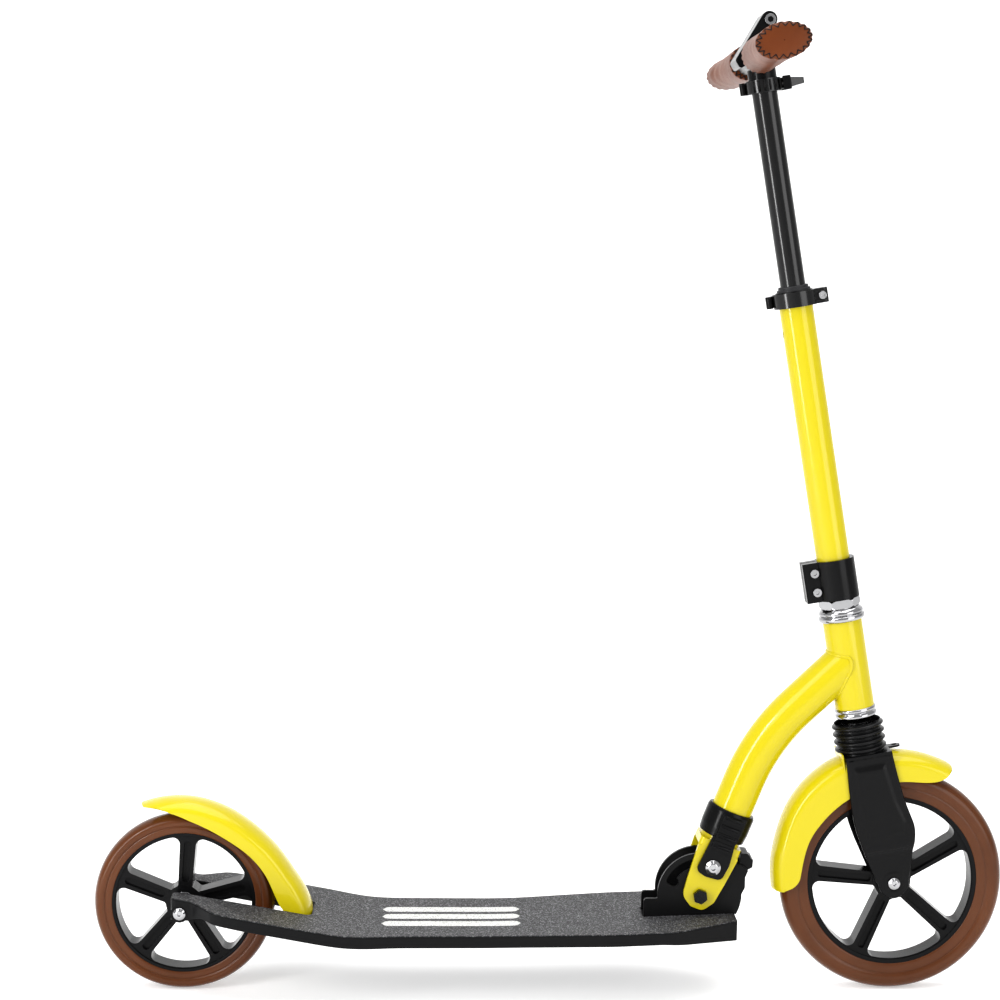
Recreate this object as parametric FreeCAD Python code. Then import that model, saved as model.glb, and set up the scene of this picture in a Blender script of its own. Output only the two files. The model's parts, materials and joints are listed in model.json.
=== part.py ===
"""Folding kick scooter with a height-adjustable column, front suspension and a foot brake.

Frame: millimetres, +X forward, +Y to the rider's left, +Z up. The origin lies on the ground,
half way between the rearmost and the foremost point of the two tyres, in the plane of symmetry.
Three local frames are used and then placed in that frame:
  steering frame  Z up the steering axis, X forward, origin on the axis beside the front axle
  neck frame      Z up the lower neck tube, X forward, origin on the fold pivot
  wheel frame     Y along the axle, origin at the wheel's centre
"""
import FreeCAD, Part
import math
import os

from FreeCAD import Placement, Rotation, Vector

# Driving dimensions
FRONT_R = 115.0
REAR_R = 90.0
WHEELBASE = 718.0
HEAD_ANGLE = 10.3  # steering axis, degrees back from the vertical
FORK_OFFSET = 10.0  # front axle ahead of the steering axis
PIVOT_FROM_REAR = 519.7
PIVOT_Z = 100.8
NECK_ANGLE = 21.0  # lower neck tube, degrees forward of the vertical
NECK_TOP_ANGLE = 46.0
NECK_BEND_R = 215.0
LOCK_TRAVEL = 4.0
RUN = 0.06  # radial clearance of a running fit
GAP = 0.35  # space between pieces that move past each other

LENGTH = REAR_R + WHEELBASE + FRONT_R
REAR_X = REAR_R - LENGTH / 2
FRONT_X = REAR_X + WHEELBASE
PIVOT_X = REAR_X + PIVOT_FROM_REAR

# Tubes, outer and inner radii
NECK_TUBE = (21.0, 19.0)
HEAD_TUBE = (20.0, 17.0)
STEERER = (15.0, 13.0)
OUTER_COLUMN = (17.0, 15.0)
INNER_COLUMN = (12.7, 11.2)
SLEEVE = (14.0, 11.1)
GRIP_TUBE = (11.0, 9.3)
AXLE_R = 4.0

# Heights along the steering axis
CROWN_Z = (133.5, 137.5)
STEERER_Z = (152.0, 338.0)
LOWER_CUP_Z = (170.0, 184.0)
HEAD_Z = (184.0, 274.5)
UPPER_CUP_Z = (274.5, 288.0)
LOCK_NUT_Z = (288.5, 297.0)
STEM_CLAMP_Z = (297.5, 338.0)
OUTER_COLUMN_Z = (297.5, 610.5)
HEIGHT_CLAMP_Z = (595.0, 610.0)
INNER_COLUMN_Z = (545.0, 824.0)
BAR_CLAMP_Z = (807.5, 820.5)
BAR_Z = 842.0
BUTTON_Z = 569.0

# Deck
DECK_END = -9.0  # tip of the rear arms, from the rear axle
DECK_FRONT = 556.0
DECK_TIP = 50.0  # half width where the axle is held
DECK_WALL = 3.0
DECK_SLOT = 24.0  # half width of the slot for the rear wheel
DECK_SLOT_END = 128.0
TAPE = 0.9
PLATE_Y = (12.0, 16.0)  # hinge plates, inner and outer face
CHEEK_Y = (16.4, 20.5)  # clevis cheeks
LOCK_R = 33.0  # lock bolt from the pivot


# ---------------------------------------------------------------- helpers

def box(x0, x1, y0, y1, z0, z1):
    return Part.makeBox(x1 - x0, y1 - y0, z1 - z0, Vector(x0, y0, z0))


def rod(r, z0, z1, x=0.0, y=0.0):
    return Part.makeCylinder(r, z1 - z0, Vector(x, y, z0))


def rod_y(r, y0, y1, x=0.0, z=0.0):
    return Part.makeCylinder(r, y1 - y0, Vector(x, y0, z), Vector(0, 1, 0))


def rod_x(r, x0, x1, y=0.0, z=0.0):
    return Part.makeCylinder(r, x1 - x0, Vector(x0, y, z), Vector(1, 0, 0))


def tube(radii, z0, z1, x=0.0, y=0.0):
    return rod(radii[0], z0, z1, x, y).cut(rod(radii[1], z0 - 1, z1 + 1, x, y))


def tube_y(ro, ri, y0, y1, x=0.0, z=0.0):
    return rod_y(ro, y0, y1, x, z).cut(rod_y(ri, y0 - 1, y1 + 1, x, z))


def rounded_wire(corners, to_point):
    """A closed wire through corners (a, b, radius), each rounded by an arc; to_point lifts (a, b)."""
    edges = []
    ends = []
    count = len(corners)
    for i, (a, b, r) in enumerate(corners):
        here = Vector(a, b, 0)
        back = Vector(*corners[i - 1][:2], 0) - here
        on = Vector(*corners[(i + 1) % count][:2], 0) - here
        half = back.getAngle(on) / 2
        if r <= 0 or half > math.radians(89.9):
            ends.append((here, here))
            continue
        back.normalize()
        on.normalize()
        run = r / math.tan(half)
        start = here + back * run
        stop = here + on * run
        centre = here + (back + on).normalize() * (r / math.sin(half))
        middle = centre + (here - centre).normalize() * r
        edges.append(Part.Arc(to_point(start), to_point(middle), to_point(stop)).toShape())
        ends.append((start, stop))
    for i in range(count):
        start = ends[i][1]
        stop = ends[(i + 1) % count][0]
        if (stop - start).Length > 1e-6:
            edges.append(Part.LineSegment(to_point(start), to_point(stop)).toShape())
    return Part.Wire(Part.__sortEdges__(edges))


def side_prism(corners, y0, y1):
    """An outline in X and Z, extruded along Y."""
    wire = rounded_wire(corners, lambda p: Vector(p.x, y0, p.y))
    return Part.Face(wire).extrude(Vector(0, y1 - y0, 0))


def plan_prism(corners, z0, z1):
    """An outline in X and Y, extruded along Z."""
    wire = rounded_wire(corners, lambda p: Vector(p.x, p.y, z0))
    return Part.Face(wire).extrude(Vector(0, 0, z1 - z0))


def front_prism(corners, x0, x1):
    """An outline in Y and Z, extruded along X."""
    wire = rounded_wire(corners, lambda p: Vector(x0, p.x, p.y))
    return Part.Face(wire).extrude(Vector(x1 - x0, 0, 0))


def ring_y(corners):
    """An outline in Y and radius (as Z), turned about the Y axis."""
    wire = rounded_wire(corners, lambda p: Vector(0, p.x, p.y))
    return Part.Face(wire).revolve(Vector(0, 0, 0), Vector(0, 1, 0), 360)


def ring_z(corners):
    """An outline in radius (as X) and Z, turned about the Z axis."""
    wire = rounded_wire(corners, lambda p: Vector(p.x, 0, p.y))
    return Part.Face(wire).revolve(Vector(0, 0, 0), Vector(0, 0, 1), 360)


def hexagon(across_flats, z0, z1, x=0.0, y=0.0):
    r = across_flats / math.sqrt(3)
    turns = [math.radians(60 * k) for k in range(6)]
    corners = [(x + r * math.cos(t), y + r * math.sin(t), 0) for t in turns]
    return plan_prism(corners, z0, z1)


def coil(radius, wire, z0, z1, turns):
    """A compression spring about the Z axis, between its two end planes."""
    height = z1 - z0 - 2 * wire
    helix = Part.makeHelix(height / turns, height, radius)
    start = Part.Wire(Part.makeCircle(wire, Vector(radius, 0, 0), Vector(0, 1, 0)))
    spring = Part.Wire(helix).makePipeShell([start], True, True)
    spring.translate(Vector(0, 0, z0 + wire))
    return spring


def both_sides(shape):
    """The shape and its mirror image across the plane of symmetry."""
    return [shape, mirrored(shape)]


def mirrored(shape):
    return shape.mirror(Vector(0, 0, 0), Vector(0, 1, 0))


def fuse(first, *rest):
    return first.fuse(list(rest)).removeSplitter()


def turned(shape, degrees, axis=Vector(0, 1, 0), centre=Vector(0, 0, 0)):
    copy = shape.copy()
    copy.rotate(centre, axis, degrees)
    return copy


STEER_FRAME = Placement(
    Vector(
        FRONT_X - FORK_OFFSET * math.cos(math.radians(HEAD_ANGLE)),
        0,
        FRONT_R - FORK_OFFSET * math.sin(math.radians(HEAD_ANGLE)),
    ),
    Rotation(Vector(0, 1, 0), -HEAD_ANGLE),
)
NECK_FRAME = Placement(Vector(PIVOT_X, 0, PIVOT_Z), Rotation(Vector(0, 1, 0), NECK_ANGLE))
FRONT_WHEEL_FRAME = Placement(Vector(FRONT_X, 0, FRONT_R), Rotation())
REAR_WHEEL_FRAME = Placement(Vector(REAR_X, 0, REAR_R), Rotation())
REAR_FRAME = Placement(Vector(REAR_X, 0, 0), Rotation())
WORLD = Placement()

NODES = {}


def in_frame(shape, frame):
    moved = shape.copy()
    moved.Placement = frame.multiply(moved.Placement)
    return moved


def add(name, shape, frame=WORLD):
    """Keep a piece, or a list of equal pieces, as one node, placed from its local frame."""
    shapes = shape if isinstance(shape, list) else [shape]
    solids = [s for piece in shapes for s in piece.Solids]
    placed = [in_frame(s, frame) if frame != WORLD else s for s in solids]
    NODES[name] = placed[0] if len(placed) == 1 else Part.makeCompound(placed)


# ---------------------------------------------------------------- wheels

def wheel(name, frame, outer, bead, rim_inner, hub_r, first_spoke):
    """Tyre, five-spoke rim and its two ball bearings."""
    half_tyre = 15.0
    half_rim = 12.5
    tyre = ring_y([
        (-half_tyre, bead + 2, 1.5),
        (-half_tyre, outer - 9, 12),
        (-6, outer, 14),
        (6, outer, 14),
        (half_tyre, outer - 9, 12),
        (half_tyre, bead + 2, 1.5),
        (half_rim, bead, 0),
        (-half_rim, bead, 0),
    ])
    add(name + "_tyre", tyre, frame)

    disc = rod_y(bead, -half_rim, half_rim)
    spokes = []
    for k in range(5):
        spoke = side_prism([
            (0, -6.6, 0),
            (rim_inner + 2, -8.2, 0),
            (rim_inner + 2, 8.2, 0),
            (0, 6.6, 0),
        ], -half_rim - 1, half_rim + 1)
        spokes.append(turned(spoke, -(first_spoke + 72 * k)))
    window_ring = rod_y(rim_inner, -half_rim - 1, half_rim + 1)
    windows = window_ring.cut(rod_y(hub_r, -half_rim - 2, half_rim + 2)).cut(spokes)
    for window in windows.Solids:
        across = [e for e in window.Edges if abs(e.BoundBox.YLength - 2 * half_rim - 2) < 0.01]
        middle = rim_inner * 0.6
        at_hub = [e for e in across if math.hypot(e.CenterOfMass.x, e.CenterOfMass.z) < middle]
        at_rim = [e for e in across if math.hypot(e.CenterOfMass.x, e.CenterOfMass.z) > middle]
        disc = disc.cut(window.makeFillet(3.0, at_hub).common(window.makeFillet(7.0, at_rim)))
    recess_start = hub_r + 3
    recess_end = rim_inner - 5
    for k in range(5):
        for side in (-1, 1):
            y0 = half_rim - 5 if side > 0 else -half_rim - 1
            recess = side_prism([
                (recess_start, -3.6, 3),
                (recess_end, -3.6, 3),
                (recess_end, 3.6, 3),
                (recess_start, 3.6, 3),
            ], y0, y0 + 6)
            disc = disc.cut(turned(recess, -(first_spoke + 72 * k)))
    face_step = ring_y([
        (half_rim - 1.5, hub_r + 1, 0),
        (half_rim - 1.5, rim_inner + 1, 0),
        (half_rim + 1, rim_inner + 1, 0),
        (half_rim + 1, hub_r + 1, 0),
    ])
    disc = disc.cut([face_step, mirrored(face_step)])
    bearing_r = 11.0
    bearing_w = 7.0
    rim = disc.cut(rod_y(8.0, -half_rim - 1, half_rim + 1))
    for y0 in (-half_rim - 1, half_rim - bearing_w):
        rim = rim.cut(rod_y(bearing_r, y0, y0 + bearing_w + 1))
    add(name + "_rim", rim, frame)

    bearing = ring_y([
        (half_rim - bearing_w, AXLE_R + RUN, 0),
        (half_rim - bearing_w, bearing_r, 0.4),
        (half_rim, bearing_r, 0.4),
        (half_rim, 9.4, 0),
        (half_rim - 0.5, 9.4, 0),
        (half_rim - 0.5, 6.2, 0),
        (half_rim, 6.2, 0),
        (half_rim, AXLE_R + RUN, 0),
    ])
    add(name + "_bearings", both_sides(bearing), frame)


def axle(name, frame, half_width):
    """Axle sleeve with a button-head screw in each end."""
    sleeve = rod_y(AXLE_R, -half_width, half_width)
    screw_hole = 2.5
    deep = 12.0
    for y0 in (-half_width - 1, half_width - deep):
        sleeve = sleeve.cut(rod_y(screw_hole, y0, y0 + deep + 1))
    add(name + "_axle", sleeve, frame)
    head = ring_y([
        (half_width, 0, 0),
        (half_width, 6.3, 0),
        (half_width + 1.6, 6.3, 1.2),
        (half_width + 3.6, 3.6, 1.5),
        (half_width + 3.6, 0, 0),
    ])
    screw = fuse(head, rod_y(screw_hole, half_width - deep + 0.5, half_width + 0.5))
    socket = hexagon(3.5, 0, 2.4)
    socket.rotate(Vector(0, 0, 0), Vector(1, 0, 0), -90)
    socket.translate(Vector(0, half_width + 1.6, 0))
    add(name + "_axle_screws", both_sides(screw.cut(socket)), frame)


# ---------------------------------------------------------------- deck

def deck_plan(inset):
    """The deck's outline from above, in the rear frame: waisted, with a slot for the rear wheel."""
    half = [
        (DECK_END + inset, DECK_TIP - inset, 6),
        (12, DECK_TIP - inset, 8),
        (36, 75 - inset, 22),
        (60, 78 - inset, 60),
        (150, 78 - inset, 160),
        (205, 67 - inset, 200),
        (330, 66 - inset, 400),
        (430, 75 - inset, 200),
        (492, 74 - inset, 60),
        (DECK_FRONT - inset, 43 - inset, 5),
    ]
    slot = DECK_SLOT + inset
    slot_end = DECK_SLOT_END + inset
    near = [(x, -y, r) for x, y, r in half]
    far = [(x, y, r) for x, y, r in reversed(half)]
    notch = [
        (DECK_END + inset, slot, 5),
        (slot_end, slot, 9),
        (slot_end, -slot, 9),
        (DECK_END + inset, -slot, 5),
    ]
    return near + far + notch


def under_surface(lift):
    """Everything under the deck's top surface raised by lift, in the rear frame."""
    return side_prism([
        (-20, 106.5 + lift, 0),
        (175, 71.5 + lift, 250),
        (320, 71.5 + lift, 1500),
        (570, 81.0 + lift, 0),
        (570, 20, 0),
        (-20, 20, 0),
    ], -90, 90)


def deck_height(x):
    """Height of the deck's top surface on its front incline."""
    return 71.5 + (x - 320) * 9.5 / 250


def hinge_bolt_holes():
    return [rod(2.6, 40, 120, x, y) for x in HINGE_BOLT_X for y in (-6.0, 6.0)]


def deck():
    skirt = side_prism([
        (-20, 83, 0),
        (8, 83, 8),
        (22, 88.5, 10),
        (175, 60.5, 250),
        (320, 60.5, 1500),
        (480, 66.5, 60),
        (570, 60.5, 0),
        (570, 130, 0),
        (-20, 130, 0),
    ], -90, 90)
    body = plan_prism(deck_plan(0), 40, 130).common(under_surface(0)).common(skirt)
    hollow = plan_prism(deck_plan(DECK_WALL), 30, 130).common(under_surface(-DECK_WALL))
    pan = body.cut(hollow)
    dropouts = []
    for y0 in (-DECK_TIP, -DECK_SLOT - DECK_WALL, DECK_SLOT, DECK_TIP - DECK_WALL):
        dropouts.append(rod_y(9.0, y0, y0 + DECK_WALL, 0, REAR_R))
    pan = pan.fuse(dropouts).cut(rod_y(AXLE_R, -60, 60, 0, REAR_R))
    pan = pan.cut(rod_y(3.0, -40, 40, *BRAKE_PIN))
    front_block = box(486, 552, -38, 38, 60.5, 90).common(under_surface(0))
    pan = fuse(pan, front_block).cut(hinge_bolt_holes())
    add("deck_pan", pan, REAR_FRAME)

    band = under_surface(TAPE).cut(under_surface(0))
    tape = plan_prism(deck_plan(1.5), 40, 140).common(band)
    hinge_window = box(BRACKET_X[0] - 1, 600, -PLATE_Y[1] - 0.6, PLATE_Y[1] + 0.6, 40, 140)
    add("grip_tape", tape.cut(hinge_window), REAR_FRAME)

    axle("rear", REAR_WHEEL_FRAME, DECK_TIP)
    spacer = tube_y(6.0, AXLE_R, 12.5 + GAP, DECK_SLOT)
    add("rear_axle_spacers", both_sides(spacer), REAR_WHEEL_FRAME)


BRACKET_X = (463.0, 558.0)
HINGE_BOLT_X = (496.0, 538.0)
BRAKE_PIN = (112.0, 72.0)


def hinge_bracket():
    """Two side plates, the near one slotted for the lock bolt, a stop block and a bolted web."""
    px = PIVOT_FROM_REAR
    rear, front = BRACKET_X
    arc_r = 43.0
    outline = fuse(
        rod_y(arc_r, PLATE_Y[0], PLATE_Y[1], px, PIVOT_Z),
        side_prism([
            (rear, deck_height(rear), 0),
            (rear, 96.5, 3),
            (478, 96.5, 4),
            (480, 116, 4),
            (500, 134, 0),
            (545, 134, 0),
            (563.5, 131, 2),
            (569, 126, 2),
            (566, 119, 4),
            (566, 108, 6),
            (front, 92, 4),
            (front, deck_height(front), 0),
        ], PLATE_Y[0], PLATE_Y[1]),
    )
    below = side_prism([
        (400, deck_height(400), 0),
        (620, deck_height(620), 0),
        (620, 30, 0),
        (400, 30, 0),
    ], -40, 40)
    plate = outline.cut(below)
    plate = plate.cut(rod_y(AXLE_R + RUN, -40, 40, px, PIVOT_Z))
    half_slot = 4.0 + GAP
    track = rod_y(LOCK_R + half_slot, 0, 40, px, PIVOT_Z)
    track = track.cut(rod_y(LOCK_R - half_slot, -1, 41, px, PIVOT_Z))
    reach = 90.0
    upright = math.radians(90 - NECK_ANGLE)
    folded = upright + math.radians(FOLD_DEG)
    sector = [(px, PIVOT_Z, 0)]
    for step in range(5):
        angle = upright + (folded - upright) * step / 4
        sector.append((px + reach * math.cos(angle), PIVOT_Z + reach * math.sin(angle), 0))
    track = track.common(side_prism(sector, 0, 40))
    for angle in (upright, folded):
        ends = []
        for r in (LOCK_R, LOCK_R - LOCK_TRAVEL):
            x = px + r * math.cos(angle)
            z = PIVOT_Z + r * math.sin(angle)
            ends.append(rod_y(half_slot, 0, 40, x, z))
        pocket = box(LOCK_R - LOCK_TRAVEL, LOCK_R, 0, 40, -half_slot, half_slot)
        pocket.rotate(Vector(0, 0, 0), Vector(0, 1, 0), -math.degrees(angle))
        pocket.translate(Vector(px, 0, PIVOT_Z))
        track = track.fuse(ends + [pocket])
    slotted_plate = mirrored(plate.cut(track))

    block = side_prism([
        (559.0, 127, 0),
        (561.5, 143, 2),
        (569.5, 142.5, 4),
        (571.5, 137.5, 1),
        (574.0, 136.5, 1),
        (573.5, 128.5, 2),
        (567.0, 125, 2),
    ], -13.0, 13.0)
    web = box(rear + 4, front - 4, -PLATE_Y[0], PLATE_Y[0], 70, deck_height(rear) + 8)
    top = side_prism([
        (400, deck_height(400) + 4, 0),
        (620, deck_height(620) + 4, 0),
        (620, 60, 0),
        (400, 60, 0),
    ], -40, 40)
    web = web.cut(below).common(top).cut(hinge_bolt_holes())
    add("hinge_bracket", fuse(web, plate, slotted_plate, block), REAR_FRAME)
    bolts = []
    for x in HINGE_BOLT_X:
        for y in (-6.0, 6.0):
            shank = rod(2.6, 60.5, deck_height(x) + 4.5, x, y)
            head = hexagon(8.0, 57.0, 60.5, x, y)
            bolts.append(fuse(shank, head))
    add("hinge_bolts", bolts, REAR_FRAME)


FOLD_DEG = 85.0


# ---------------------------------------------------------------- fenders

def arched_guard(radius, half_width, depth, wall):
    """A mudguard ring: an arched section turned about the Y axis through the origin."""
    shoulder = 9.0

    def section(half, crown, foot):
        left = Vector(0, -half, crown - shoulder)
        right = Vector(0, half, crown - shoulder)
        low_left = Vector(0, -half, foot)
        low_right = Vector(0, half, foot)
        edges = [
            Part.Arc(left, Vector(0, 0, crown), right).toShape(),
            Part.LineSegment(right, low_right).toShape(),
            Part.LineSegment(low_right, low_left).toShape(),
            Part.LineSegment(low_left, left).toShape(),
        ]
        return Part.Face(Part.Wire(edges))

    outer = section(half_width, radius, radius - depth)
    inner = section(half_width - wall, radius - wall, radius - depth - 5)
    axis = (Vector(0, 0, 0), Vector(0, 1, 0))
    return outer.revolve(*axis, 360).cut(inner.revolve(*axis, 360))


REAR_GUARD = (157.0, -24.7, 36.6)  # radius and centre of its arc, from the rear axle's foot
FRONT_GUARD = (118.5, -3.0, 15.5)  # radius and centre of its arc, from the front axle


def rear_fender():
    radius, cx, cz = REAR_GUARD
    wall = 2.5
    guard = arched_guard(radius, 21.5, 25.0, wall)
    guard.translate(Vector(cx, 0, cz))
    keep = side_prism([
        (-42, 186, 4),
        (-14, 183, 30),
        (30, 164, 60),
        (72, 132, 40),
        (92, 98, 30),
        (96, 79, 6),
        (126, 79, 4),
        (170, 120, 0),
        (110, 220, 0),
        (-42, 220, 0),
    ], -40, 40)
    guard = guard.common(keep)
    px, pz = BRAKE_PIN
    web = side_prism([
        (px - 7, pz - 7, 6.5),
        (px + 7, pz - 7, 6.5),
        (126, 84, 3),
        (121, 90, 3),
        (98, 90, 3),
    ], 12.0, 16.0)
    lugs = both_sides(web.cut(rod_y(3.0 + RUN, -40, 40, px, pz)))
    floor = side_prism([
        (98, 86, 1),
        (123.5, 86, 1),
        (122.5, 90, 1),
        (98, 90, 1),
    ], -19.2, 19.2)
    add("rear_fender", fuse(guard, floor, *lugs), REAR_FRAME)

    pin = rod_y(3.0, -DECK_SLOT - 3.0, DECK_SLOT + 3.0, px, pz)
    heads = [rod_y(4.6, y, y + 1.6, px, pz) for y in (-DECK_SLOT - 4.6, DECK_SLOT + 3.0)]
    add("brake_pin", fuse(pin, *heads), REAR_FRAME)
    spring = coil(4.7, 0.8, -10.5, 10.5, 8)
    spring.rotate(Vector(0, 0, 0), Vector(1, 0, 0), 90)
    spring.translate(Vector(px, 0, pz))
    add("brake_spring", spring, REAR_FRAME)


def front_fender():
    radius, cx, cz = FRONT_GUARD
    guard = arched_guard(radius, 21.5, 27.0, 2.5)
    guard.translate(Vector(cx, 0, cz))
    keep = side_prism([
        (-130, -8, 12),
        (-94, -8, 14),
        (-98, 30, 60),
        (-70, 72, 70),
        (-20, 92, 60),
        (20, 105, 40),
        (42, 98, 20),
        (56, 108, 6),
        (60, 120, 4),
        (40, 150, 0),
        (-130, 150, 0),
    ], -40, 40)
    crown_seat = box(-60, 60, -60, 60, CROWN_Z[0], CROWN_Z[0] + 60).common(rod(36, 100, 200))
    crown_seat = in_frame(crown_seat, STEER_FRAME)
    fender = in_frame(guard.common(keep), FRONT_WHEEL_FRAME)
    add("front_fender", fender.cut(crown_seat))


# ---------------------------------------------------------------- neck

def neck():
    lock_y = CHEEK_Y[1]
    outline = [
        (-22, 50, 3),
        (-19, 12, 30),
        (-17, -6, 12),
        (-5, -13.5, 7),
        (8, -13.5, 7),
        (16, -2, 10),
        (19, 20, 30),
        (22, 50, 3),
    ]
    cheek = side_prism(outline, CHEEK_Y[0], lock_y)
    cheek = cheek.cut(rod_y(AXLE_R, -40, 40))
    half_slot = 4.0 + GAP
    slot = box(-half_slot, half_slot, -40, 0, LOCK_R - LOCK_TRAVEL, LOCK_R)
    for n in (LOCK_R, LOCK_R - LOCK_TRAVEL):
        slot = slot.fuse(rod_y(half_slot, -40, 0, 0, n))
    bridge = box(-22, 22, -lock_y, lock_y, 46.0, 57.5)
    bridge = bridge.makeFillet(5.0, [e for e in bridge.Edges if is_upright(e)])
    bridge = bridge.cut(box(-23, 23, -CHEEK_Y[0], CHEEK_Y[0], 40, 50))
    spigot = rod(NECK_TUBE[1], 57.0, 96.0)
    spring_seat = rod(4.0, 44.0, 50.5)
    clevis = fuse(bridge, cheek, mirrored(cheek).cut(slot), spigot, spring_seat)
    add("neck_clevis", clevis, NECK_FRAME)

    lower = Vector(PIVOT_X, 0, PIVOT_Z)
    low_dir = direction(NECK_ANGLE)
    top_dir = direction(NECK_TOP_ANGLE)
    start = lower + low_dir * 57.5
    bend_from = lower + low_dir * 122.0
    bend = NECK_BEND_R
    centre = bend_from + Vector(low_dir.z, 0, -low_dir.x) * bend
    middle_dir = direction((NECK_ANGLE + NECK_TOP_ANGLE) / 2)
    middle = centre - Vector(middle_dir.z, 0, -middle_dir.x) * bend
    bend_to = centre - Vector(top_dir.z, 0, -top_dir.x) * bend
    top = bend_to + top_dir * 76.0
    path = Part.Wire([
        Part.LineSegment(start, bend_from).toShape(),
        Part.Arc(bend_from, middle, bend_to).toShape(),
        Part.LineSegment(bend_to, top).toShape(),
    ])
    solids = []
    for r in NECK_TUBE:
        section = Part.Wire(Part.makeCircle(r, start, low_dir))
        solids.append(path.makePipeShell([section], True, False))
    head_space = in_frame(rod(HEAD_TUBE[0], HEAD_Z[0] - 20, HEAD_Z[1] + 20), STEER_FRAME)
    beyond = in_frame(box(0, 80, -60, 60, HEAD_Z[0] - 40, HEAD_Z[1] + 60), STEER_FRAME)
    tube_solid = solids[0].cut(solids[1]).cut(head_space).cut(beyond)
    add("neck_tube", max(tube_solid.Solids, key=lambda s: s.Volume))

    add("head_tube", tube(HEAD_TUBE, *HEAD_Z), STEER_FRAME)

    pivot = rod_y(AXLE_R, -lock_y, lock_y)
    head = hexagon(13.0, 0, 5.5)
    head.rotate(Vector(0, 0, 0), Vector(1, 0, 0), 90)
    head.translate(Vector(0, -lock_y, 0))
    tail = rod_y(3.0, lock_y - 0.5, lock_y + 7.5)
    add("pivot_bolt", fuse(pivot, head, tail), NECK_FRAME)
    nut = hexagon(13.0, 0, 6.0)
    nut.rotate(Vector(0, 0, 0), Vector(1, 0, 0), -90)
    nut.translate(Vector(0, lock_y, 0))
    add("pivot_nut", nut.cut(rod_y(3.0, 0, 40)), NECK_FRAME)

    spring = coil(5.2, 0.9, LOCK_R + 4.3, 50.0, 4)
    add("lock_spring", spring, NECK_FRAME)


def is_upright(edge):
    return edge.BoundBox.ZLength > 5 and edge.BoundBox.XLength < 0.01 and edge.BoundBox.YLength < 0.01


def direction(from_vertical):
    angle = math.radians(from_vertical)
    return Vector(math.sin(angle), 0, math.cos(angle))



def release_collar():
    """The sprung sleeve that is pulled up to free the fold, with a tongue down each cheek."""
    low, high = 62.0, 92.0
    ring = ring_z([
        (NECK_TUBE[0] + GAP, low, 0),
        (24.0, low, 1.0),
        (25.0, low + 10, 20),
        (25.0, high - 3, 2),
        (23.6, high, 1),
        (NECK_TUBE[0] + GAP, high, 0),
    ])
    y0 = CHEEK_Y[1] + GAP
    tongue = side_prism([
        (-15, 24, 6),
        (-4, 21.5, 6),
        (13, 23, 6),
        (15, 40, 6),
        (12, 64, 1),
        (-12, 64, 1),
    ], y0, y0 + 4.0)
    pad = side_prism([
        (-10, 52, 2),
        (12, 50, 2),
        (13, 86, 2),
        (-10, 88, 2),
    ], y0 + 2.0, y0 + 5.6)
    steps = []
    for n in (60.0, 69.0, 78.0):
        steps.append(box(-11, 14, y0 + 4.6, y0 + 6, n, n + 3.2))
    pad = pad.cut(steps)
    collar = fuse(ring, tongue, pad, mirrored(tongue), mirrored(pad))
    collar = collar.cut(rod(NECK_TUBE[0] + GAP, low - 8, high + 1))
    collar = collar.cut(rod_y(AXLE_R, -60, 0, 0, LOCK_R))
    add("release_collar", collar, NECK_FRAME)

    head_y = y0 + 4.0
    shank = rod_y(AXLE_R, -head_y, PLATE_Y[0] - 0.7, 0, LOCK_R)
    head = ring_y([
        (-head_y, 0, 0),
        (-head_y, 8.0, 0),
        (-head_y - 1.6, 8.0, 1),
        (-head_y - 4.2, 4.4, 2),
        (-head_y - 4.2, 0, 0),
    ])
    head.translate(Vector(0, 0, LOCK_R))
    socket = rod_y(2.4, -head_y - 5, -head_y - 1.8, 0, LOCK_R)
    add("lock_bolt", fuse(shank, head).cut(socket), NECK_FRAME)


# ---------------------------------------------------------------- headset and column

def headset():
    """Two cups with their bearings, pressed on the head tube, and the lock nut."""
    bore = STEERER[0] + RUN
    low, high = UPPER_CUP_Z
    upper = ring_z([
        (bore, low, 0),
        (20.5, low, 0.5),
        (23.5, low + 2.5, 1.5),
        (23.5, high - 6, 1.8),
        (19.5, high, 1.0),
        (bore, high, 0),
    ])
    add("upper_cup", upper, STEER_FRAME)
    low, high = LOWER_CUP_Z
    lower = ring_z([
        (bore, low, 0),
        (20.2, low, 0.8),
        (21.2, low + 3, 1),
        (21.2, high - 2, 1),
        (20.4, high, 0.5),
        (bore, high, 0),
    ])
    add("lower_cup", lower, STEER_FRAME)

    nut = hexagon(37.0, *LOCK_NUT_Z).cut(rod(STEERER[0], 0, 400))
    crown = ring_z([
        (10, LOCK_NUT_Z[0], 0),
        (19.6, LOCK_NUT_Z[0], 0),
        (21.4, LOCK_NUT_Z[0] + 2, 0),
        (21.4, LOCK_NUT_Z[1] - 2, 0),
        (19.6, LOCK_NUT_Z[1], 0),
        (10, LOCK_NUT_Z[1], 0),
    ])
    add("headset_lock_nut", nut.common(crown), STEER_FRAME)


def steerer():
    wall = tube(STEERER, *STEERER_Z)
    plug = rod(STEERER[1], 301.0, 306.0)
    add("steerer_tube", fuse(wall, plug), STEER_FRAME)


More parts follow.
